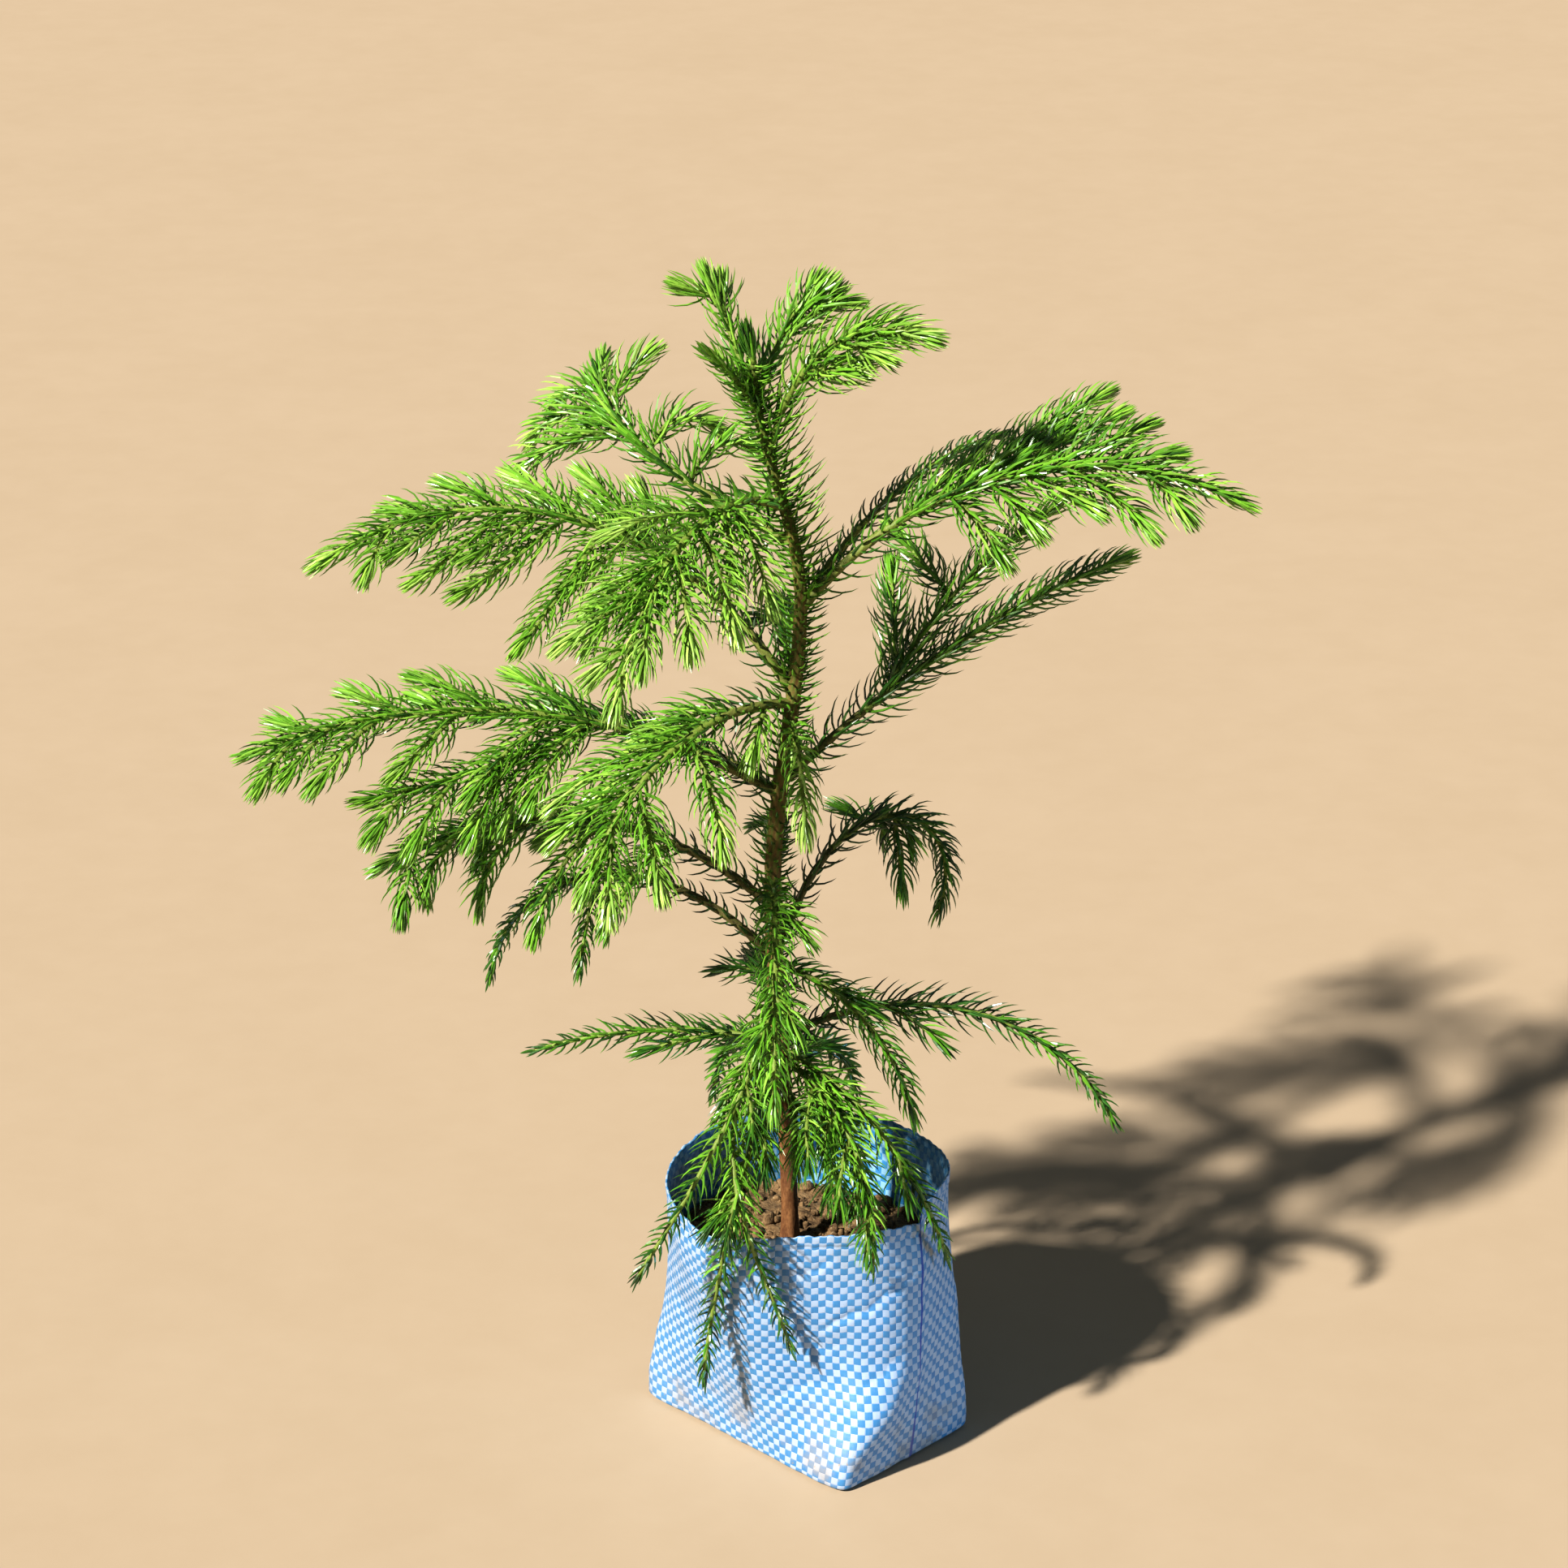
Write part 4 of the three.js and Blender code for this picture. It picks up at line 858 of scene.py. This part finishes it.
def growPlant():
    paths = [hugBag(nudged(growPath(trunkPoint(bough["height"]), bough), bough), bough["name"]) for bough in boughs]
    taken = [(i, path[1:], np.linspace(boughs[i]["radius"], shoot["stemTip"], len(path) - 1))
             for i, path in enumerate(paths)]
    shoots = []

    def addShoot(kind, bough, path, length, radii, begin=0.0):
        shoots.append({"kind": kind, "bough": bough, "path": path, "begin": begin, "length": length, "radii": radii})

    for i, (bough, path) in enumerate(zip(boughs, paths)):
        addShoot("stem", bough, path, bough["length"], (bough["radius"], shoot["stemTip"]),
                 bough["limb"] / bough["length"])
        others = np.concatenate([p for owner, p, _ in taken if owner != i])
        reach = np.concatenate([r for owner, _, r in taken if owner != i])
        for twig in twigsOf(bough, path):
            twigPath, length = freePath(twig, others, reach)
            if length > shoot["shortest"]:
                addShoot("twig", bough, twigPath, length, (shoot["twigRadius"], shoot["twigTip"]))
                taken.append((i, twigPath, np.full(len(twigPath), shoot["twigReach"])))
    leader = shoot["leader"]
    leaderPath = growPath(trunkPoint(tipHeight) + np.array([0, 0, 2]), leader)
    addShoot("leader", shoot["leaderLook"], leaderPath, leader["length"], shoot["leaderRadii"])
    print("grown", len(shoots), "shoots")
    return shoots


# the needles, on shoots, limbs, low boughs and the trunk
needle = {
    "length": 17, "tipLength": 12, "width": 0.7, "thickness": 0.44, "sizeJitter": (0.9, 1.08), "beyondEnd": 7,
    "stations": (0.0, 0.22, 0.5, 0.78, 1.0), "widths": (0.95, 1.0, 0.86, 0.55, 0.0), "widthJitter": (0.88, 1.12),
    # needles for each millimetre, degrees from the shoot where they leave it and where they end
    "perMm": 1.4, "leaveAt": 76, "endAt": 5, "tipPerMm": 3.2, "tipReach": 13, "tipFrom": 0.12, "leaderPerMm": 5.0,
    "limbPerMm": 0.95, "limbLeaveAt": 84, "limbEndAt": 22, "limbLength": 0.84,
    "lowBelow": 200, "lowPerMm": 1.1, "lowLeaveAt": 66, "lowEndAt": 24, "lowTip": 0.7, "lowShrink": (0.45, 0.9),
    "trunkFrom": 140, "trunkPerMm": (1.3, 3.6), "trunkCrowd": 1.6, "trunkLeaveAt": 86.0, "trunkEndAt": 50.0,
    "trunkLength": 11, "trunkJitter": (0.8, 1.12), "trunkGrow": (0.92, 1.15),
    "besideTop": 0.9, "besideFrom": (350, 400), "besideTo": (430, 450), "offTrunk": 0.4, "footDepth": 0.75,
    "stemBare": 4.5, "twigBare": 2.0, "closedTip": 0.3, "closeOver": (2, 19), "flat": 0.66, "golden": 137.508,
    "turnJitter": 5, "leaveJitter": 4, "endJitter": 7, "upward": 0.22, "upwardJitter": (0.3, 1.2), "seed": 11,
    # tone: jitter; on limbs by height; shade past the limb; the ends, and where low stems start to darken towards their
    # ends
    "toneJitter": 0.1, "limbTone": (0.1, 0.36), "limbToneJitter": 0.08, "limbYoung": (230, 380), "limbShade": 0.14,
    "limbFade": 0.35, "freshOver": (4, 26), "lowEndsDarkFrom": (0.5, 0.78), "trunkTone": (0.36, 0.26), "trunkToneJitter": 0.13,
    # dark to light: the plain colours that needles are dealt
    "colours": [
        ("old", (0.003, 0.026, 0.001, 1)), ("deep", (0.007, 0.072, 0.001, 1)), ("leaf", (0.043, 0.172, 0.002, 1)),
        ("bright", (0.105, 0.3, 0.016, 1)), ("fresh", (0.195, 0.41, 0.045, 1)), ("lime", (0.29, 0.5, 0.1, 1)),
    ],
}


def spacing(length, density):
    place, places = 0.4 / density(0), []
    while place < length:
        places.append(place)
        place += 1 / density(place)
    return np.array(places)


# feet, outward ways and the shoot's forward ways
def needlesOn(path, along, radii, draw, flat=1.0):
    count = len(along)
    forward, side, over = carriedFrames(path)
    low = np.minimum((np.clip(along, 0, 1) * (len(path) - 1)).astype(int), len(path) - 1)
    angle = np.radians(np.arange(count) * needle["golden"] + draw.normal(0, needle["turnJitter"], count))
    out = unit(side[low] * np.cos(angle)[:, None] + over[low] * flat * np.sin(angle)[:, None])
    feet = pointsAlong(path, along) + out * (needle["footDepth"] * radii)[:, None]
    upward = np.array([0, 0, needle["upward"]]) * draw.uniform(*needle["upwardJitter"], count)[:, None]
    return feet, unit(out + upward), forward[low]


def shootNeedles(grown, draw):
    bough, length, begin, kind = grown["bough"], grown["length"], grown["begin"], grown["kind"]
    low = bough["height"] < needle["lowBelow"]  # older, more open sprays
    lowStem = low and kind == "stem"
    usual = needle["leaderPerMm"] if kind == "leader" else needle["lowPerMm" if low else "perMm"]
    tipStart = length - needle["tipReach"]

    def density(place):
        if place < begin * length:
            return needle["limbPerMm"]
        if bough["fresh"] > needle["tipFrom"] and place > tipStart:
            return mix(usual, needle["tipPerMm"], (place - tipStart) / needle["tipReach"])
        return usual

    places = spacing(length, density)
    bare = needle["stemBare" if kind == "stem" else "twigBare"]
    places = places[(places > bare) & (places < length - shoot["endCut"])]
    along, count = places / length, len(places)
    feet, out, forward = needlesOn(grown["path"], along, mix(*grown["radii"], along), draw, needle["flat"])
    toEnd = (1 - along) * length
    size = mix(needle["length"], needle["tipLength"], along ** 3) * draw.uniform(*needle["sizeJitter"], count)
    size = size * bough["brush"] * np.where(along < begin, needle["limbLength"], 1)
    if lowStem:
        size = size * mix(1.0, needle["lowTip"], smoothStep(along, *needle["lowShrink"]))
    size = np.minimum(size, toEnd + needle["beyondEnd"])
    tone = bough["tone"] + needle["toneJitter"] * draw.normal(0, 1, count)
    if kind == "stem":
        old = mix(*needle["limbTone"], smoothStep(bough["height"], *needle["limbYoung"]))
        shaded = tone - needle["limbShade"] * (1 - smoothStep(along, begin, begin + needle["limbFade"]))
        tone = np.where(along < begin, old + needle["limbToneJitter"] * draw.normal(0, 1, count), shaded)
    # low stems grow darker towards their ends; other shoots change tone by their fresh value near their ends
    ends = smoothStep(along, *needle["lowEndsDarkFrom"]) if lowStem else 1 - smoothStep(toEnd, *needle["freshOver"])
    tone = tone + bough["fresh"] * ends
    spread = mix(needle["closedTip"], 1.0, smoothStep(toEnd, *needle["closeOver"]))
    onLimb = 1 - smoothStep(along, begin, begin + 0.1) if begin > 0 else np.zeros(count)
    leave = spread * mix(needle["lowLeaveAt" if low else "leaveAt"], needle["limbLeaveAt"], onLimb)
    end = spread * mix(needle["lowEndAt" if low else "endAt"], needle["limbEndAt"], onLimb)
    return feet, out, forward, size, tone, leave, end


def trunkNeedles(draw):
    path = np.array([trunkPoint(z) for z in np.arange(footHeight, tipHeight + 3, 3)])
    length, begin = tipHeight - footHeight, needle["trunkFrom"] - footHeight

    def density(place):
        return mix(*needle["trunkPerMm"], max(0.0, (place - begin) / (length - begin)) ** needle["trunkCrowd"])

    places = spacing(length, density)
    places = places[places > begin]
    along, count = places / length, len(places)
    feet, out, forward = needlesOn(path, along, trunkRadius(footHeight + along * length), draw)
    size = needle["trunkLength"] * draw.uniform(*needle["trunkJitter"], count) * mix(*needle["trunkGrow"], along ** 3)
    height = feet[:, 2]
    beside = smoothStep(height, *needle["besideFrom"]) * (1 - smoothStep(height, *needle["besideTo"]))
    size = size * (1 + needle["besideTop"] * beside * np.clip(out[:, 0], 0, 1))  # longer beside the top shoot
    low, more = needle["trunkTone"]
    tone = low + more * along ** 2 + needle["trunkToneJitter"] * draw.normal(0, 1, count)
    return feet, out, forward, size, tone, np.full(count, needle["trunkLeaveAt"]), np.full(count, needle["trunkEndAt"])


# awls that curve forward: rings of four points and a tip
def needleShapes(feet, out, forward, length, leave, end, draw):
    count, stations = len(feet), needle["stations"]
    side = unit(np.cross(forward, out))
    out = unit(np.cross(side, forward))
    leave = np.radians(leave + draw.normal(0, needle["leaveJitter"], count))
    end = np.radians(end + draw.normal(0, needle["endJitter"], count))
    broad = needle["width"] * draw.uniform(*needle["widthJitter"], count)
    place, rings = feet, []
    for k, station in enumerate(stations):
        angle = mix(leave, end, station)[:, None]
        if k:
            way = out * np.sin(angle) + forward * np.cos(angle)
            place = place + way * (length * (station - stations[k - 1]))[:, None]
        up = out * np.cos(angle) - forward * np.sin(angle)
        wide = (broad * needle["widths"][k])[:, None]
        thick = wide * needle["thickness"] / needle["width"]
        corners = [place + side * wide, place + up * thick, place - side * wide, place - up * thick]
        rings.append(np.stack(corners, axis=1))
    return np.concatenate([*rings[:-1], place[:, None]], axis=1)


def makeNeedles(shoots):
    draw = np.random.default_rng(needle["seed"])
    grown = [shootNeedles(each, draw) for each in shoots] + [trunkNeedles(draw)]
    feet, out, forward, length, tone, leave, end = [np.concatenate(column) for column in zip(*grown)]
    draw = np.random.default_rng(needle["seed"] + 1)
    points = needleShapes(feet, out, forward, length, leave, end, draw)
    middle, tip = points[:, 9], points[:, -1]
    keep = clearOfBag(middle) & clearOfBag(tip) & (distanceFromTrunk(tip) > needle["offTrunk"])
    points, tone = points[keep], tone[keep]
    tint = draw.random(len(points))
    rings = len(needle["stations"]) - 1
    each = rings * 4 + 1
    quads = np.concatenate([[[3, 2, 1, 0]], ringFaces(rings, 4)])
    tris = fanFaces((rings - 1) * 4, 4, rings * 4, True)
    layout = np.stack([np.tile([0, 0.5, 1, 0.5], rings), np.repeat(needle["stations"][:-1], 4)], axis=1)
    layout = np.concatenate([layout, [[0.5, 1.0]]])
    steps = len(needle["colours"])
    group = np.clip(np.floor(tone * steps), 0, steps - 1).astype(int)
    for k, (label, colour) in enumerate(needle["colours"]):
        mine = np.nonzero(group == k)[0]
        shift = (np.arange(len(mine)) * each)[:, None, None]
        makePiece("needles_" + label, points[mine].reshape(-1, 3),
                  [(quads[None] + shift).reshape(-1, 4), (tris[None] + shift).reshape(-1, 3)],
                  makeNeedleMaterial(label, colour), uv=np.tile(layout, (len(mine), 1)),
                  values={"tint": np.repeat(tint[mine], each)}, smooth=False)
    print("grown", len(points), "needles")
    return grown[-1][0]


# pale foot, faint bands along both sides of the ridge, and a drier point
def makeBandGroup():
    group, nodes, given, out = newGroup("needleBands", [("Base", colourKind, (0.1, 0.3, 0.05, 1))],
                                        [("Colour", colourKind)])
    across, along, _ = nodes.split(nodes.layout())
    dark = nodes.blend(1.0, given["Base"], (0.62, 0.66, 0.55, 1), "MULTIPLY")
    light = nodes.blend(1.0, given["Base"], (1.5, 1.32, 1.35, 1), "MULTIPLY")
    colour = nodes.blend(nodes.value("tint"), dark, light)
    fromRidge = nodes.maths("ABSOLUTE", nodes.less(across, 0.5))
    band = nodes.times(nodes.ramp(fromRidge, 0.06, 0.16), nodes.less(1.0, nodes.ramp(fromRidge, 0.26, 0.38)))
    foot = nodes.less(1.0, nodes.ramp(along, 0.02, 0.24))
    point = nodes.ramp(along, 0.9, 1.0)
    for mask, most, over in ((band, 0.12, (0.3, 0.42, 0.16, 1)), (foot, 0.4, (0.2, 0.3, 0.06, 1)),
                             (point, 0.5, (0.27, 0.25, 0.07, 1))):
        colour = nodes.blend(nodes.times(mask, most), colour, over)
    nodes.link(colour, out["Colour"])
    return group


bandGroup = makeBandGroup()


def makeNeedleMaterial(label, colour):
    material, nodes, shader = newMaterial("needle_" + label, 0.3, 0.46)
    nodes.link(nodes.group(bandGroup, {"Base": colour})["Colour"], shader["Base Color"])
    spots = nodes.noise(nodes.place(), 700.0, 2.0)
    nodes.link(nodes.maths("MULTIPLY_ADD", spots, 0.14, 0.24), shader["Roughness"])
    return material


# the stems of boughs and twigs
stem = {
    "limbSides": 20, "limbStep": 0.9, "limbRelief": 0.16, "limbSwell": 1.02, "limbGreen": (0.1, 0.75),
    "waves": 5, "waveTurn": 1.1, "waveDepth": 0.14, "waveGreen": 0.25,
    "twigSides": 8, "twigStep": 1.6, "twigSwell": 0.09,
    # dark, light and green of the bark, its grain size and roughness
    "limbLook": ((0.045, 0.034, 0.011, 1), (0.14, 0.115, 0.034, 1), (0.19, 0.24, 0.045, 1), 420.0, 0.6),
    "twigLook": ((0.07, 0.11, 0.014, 1), (0.16, 0.21, 0.034, 1), (0.22, 0.3, 0.055, 1), 500.0, 0.5),
    "earth": (0.2, 0.13, 0.075, 1),
}


# leaf cushions that stand up in the bark below the feet of needles
def cushionRelief(path, feet):
    _, side, over = carriedFrames(path)
    angle = ringAngles(trunk["sides"])
    relief = np.zeros((len(path), trunk["sides"]))
    for foot in feet:
        nearest = int(np.argmin(np.linalg.norm(path - foot, axis=1)))
        out = foot - path[nearest]
        turn = math.atan2(out.dot(over[nearest]), out.dot(side[nearest]))
        low, high = max(0, nearest - 9), min(len(path), nearest + 5)
        run = (np.arange(low, high) - nearest)[:, None] * trunk["step"]
        apart = np.angle(np.exp(1j * (angle - turn)))[None, :]
        fall = np.where(run < 0, trunk["cushionBelow"], trunk["cushionAbove"])
        swell = trunk["cushion"] * np.exp(-(run / fall) ** 2 - (apart / trunk["cushionWidth"]) ** 2)
        relief[low:high] = np.maximum(relief[low:high], swell)
    return relief


def barkRelief(path, sides, depth, seed):
    place = (path[:, None] * np.array([1, 1, 0.35]) + 4 * outwardWays(path, sides)).reshape(-1, 3)
    rough = 0.6 * lumps(place, 2.1, seed) + 0.4 * lumps(place, 0.9, seed + 1)
    return depth * rough.reshape(len(path), sides)


def makeTrunk(material, feet):
    heights = np.arange(footHeight - trunk["sunk"], tipHeight + trunk["pastTip"], trunk["step"])
    path = np.array([trunkPoint(max(z, footHeight)) + np.array([0, 0, min(0, z - footHeight)]) for z in heights])
    cushions = cushionRelief(path, feet)
    radii = trunk["slim"] * trunkRadius(heights)[:, None] + cushions
    radii = radii + barkRelief(path, trunk["sides"], trunk["relief"], 8)
    ridges = np.sin(ringAngles(trunk["sides"]) * trunk["ridges"] + 1)[None, :]
    nearFoot = np.exp(-np.maximum(heights - footHeight, 0) / trunk["ridgeHeight"])[:, None]
    green = np.clip(cushions / trunk["cushion"], 0, 1) * smoothStep(heights, *trunk["greenCushions"])[:, None]
    green = np.maximum(green, trunk["greenMost"] * smoothStep(heights, *trunk["greenTop"])[:, None])
    tubes = Tubes()
    tubes.add(path, radii + trunk["ridgeDepth"] * ridges * nearFoot, trunk["sides"], green)
    tubes.piece("trunkBark", material, "trunk_bark", ["trunk"])


def makeStems(shoots, limbMaterial, twigMaterial):
    limbs, twigs = Tubes(), Tubes()
    sides = stem["limbSides"]
    for k, grown in enumerate(shoots):
        begin, length, bough = grown["begin"], grown["length"], grown["bough"]
        if begin > 0:
            count = max(8, int(length * begin / stem["limbStep"]))
            along = np.linspace(0, begin, count)
            path = pointsAlong(grown["path"], along)
            wave = np.sin(ringAngles(sides)[None, :] * stem["waves"] + np.arange(count)[:, None] * stem["waveTurn"])
            radii = mix(*grown["radii"], along)[:, None] * stem["limbSwell"]
            radii = radii + barkRelief(path, sides, stem["limbRelief"], 20 + k) + stem["waveDepth"] * wave
            green = mix(*stem["limbGreen"], smoothStep(bough["height"], *needle["limbYoung"]))
            limbs.add(path, radii, sides, np.clip(green + stem["waveGreen"] * wave, 0, 1))
        count = max(6, int(length * (1 - begin) / stem["twigStep"]))
        along = np.linspace(begin, 1 - shoot["endCut"] / length, count)
        radii = mix(*grown["radii"], along) * (1 + stem["twigSwell"] * np.sin(np.arange(count) * 2.4 + k))
        radii[-1] *= 0.5
        green = np.clip((1 - along) * 0.6 + bough["tone"] * 0.4, 0, 1)
        twigs.add(pointsAlong(grown["path"], along), radii, stem["twigSides"], 1 - green)
    limbNames = ["limb_" + bough["name"] for bough in boughs if bough["limb"] > 0]
    sprayNames = ["spray_" + bough["name"] for bough in boughs] + ["leader_tuft"]
    limbs.piece("limbBark", limbMaterial, "limb_bark", limbNames)
    twigs.piece("twigStems", twigMaterial, "foliage", sprayNames)


def makeBarkMaterial(name, dark, light, green, size, roughness):
    material, nodes, shader = newMaterial(name, roughness, 0.3)
    bark = nodes.group(mottleGroup, {"Dark": dark, "Light": light, "Size": size, "Stretch": (1, 1, 0.4),
                                     "Sharpness": 0.17})
    colour = nodes.blend(nodes.value("green"), bark["Colour"], green)
    dusty = nodes.group(dustGroup, {"Base": colour, "Earth": stem["earth"], "Top": 0.1, "Amount": 0.35})
    nodes.link(dusty["Colour"], shader["Base Color"])
    nodes.bump(shader, bark["Height"], 0.6, 0.0006)
    return material


# floor, light and camera
studio = {
    "floor": (0.416, 0.325, 0.232, 1), "sky": (0.62, 0.72, 0.8, 1), "skyStrength": 0.22,
    "sunColour": (1.0, 0.96, 0.88), "sunStrength": 9.2, "sunBearing": 221, "sunRise": 40, "sunSoftness": 2.4,
    "fillColour": (0.3, 0.66, 1.0), "fillStrength": 34.0, "fillPlace": (1.15, -0.62, 0.12),
    "fillAim": (0.05, -0.03, 0.05), "fillCone": 14, "fillBlend": 0.7, "fillSize": 0.12,
    "cameraPlace": (-0.0085, -1.7665, 1.0532), "cameraTilt": 66.5, "lens": 111.8, "sensor": 36, "gamma": 0.89,
}


def addObject(name, data):
    added = bpy.data.objects.new(name, data)
    scene.collection.objects.link(added)
    return added


def makeStudio():
    material, nodes, shader = newMaterial("paleFloor", 0.9, 0.2)
    r, g, b, _ = studio["floor"]
    ground = nodes.group(mottleGroup, {"Dark": (r * 0.95, g * 0.94, b * 0.92, 1), "Light": studio["floor"],
                                       "Size": 9.0, "Sharpness": 0.3})
    nodes.link(ground["Colour"], shader["Base Color"])
    mesh = bpy.data.meshes.new("floor")
    mesh.from_pydata([(x, y, -0.0003) for x, y in ((-6, -6), (6, -6), (6, 12), (-6, 12))], [], [(0, 1, 2, 3)])
    mesh.materials.append(material)
    floor = addObject("floor", mesh)

    world = bpy.data.worlds.new("softSky")
    world.use_nodes = True
    sky = world.node_tree.nodes["Background"].inputs
    sky[0].default_value, sky[1].default_value = studio["sky"], studio["skyStrength"]
    scene.world = world

    lamp = bpy.data.lights.new("key", "SUN")
    lamp.energy, lamp.color = studio["sunStrength"], studio["sunColour"]
    lamp.angle = math.radians(studio["sunSoftness"])
    key = addObject("key", lamp)
    key.rotation_euler = (math.radians(90 - studio["sunRise"]), 0, math.radians(studio["sunBearing"] + 90))

    # a weak cool fill, narrow enough to reach the shaded side of the bag alone
    lamp = bpy.data.lights.new("fill", "SPOT")
    lamp.energy, lamp.color, lamp.shadow_soft_size = studio["fillStrength"], studio["fillColour"], studio["fillSize"]
    lamp.spot_size, lamp.spot_blend = math.radians(studio["fillCone"]), studio["fillBlend"]
    fill = addObject("fill", lamp)
    fill.location = studio["fillPlace"]
    fill.rotation_euler = (Vector(studio["fillAim"]) - fill.location).to_track_quat("-Z", "Y").to_euler()

    eye = bpy.data.cameras.new("photoView")
    eye.lens, eye.sensor_width, eye.clip_end = studio["lens"], studio["sensor"], 50
    camera = addObject("photoView", eye)
    camera.location = studio["cameraPlace"]
    camera.rotation_euler = (math.radians(studio["cameraTilt"]), 0, 0)
    scene.camera = camera
    scene.view_settings.view_transform = "Standard"
    scene.view_settings.gamma = studio["gamma"]
    print("studio ready")


plant = growPlant()
makeBag(makeBagMaterial())
earth = makeSoilMaterial()
makeSoil(earth)
makeCrumbs(earth)
trunkFeet = makeNeedles(plant)
makeTrunk(makeBarkMaterial("trunkBark", trunk["brown"], trunk["pale"], trunk["green"], 330.0, 0.75), trunkFeet)
makeStems(plant, makeBarkMaterial("limbBark", *stem["limbLook"]), makeBarkMaterial("twigGreen", *stem["twigLook"]))
makeStudio()
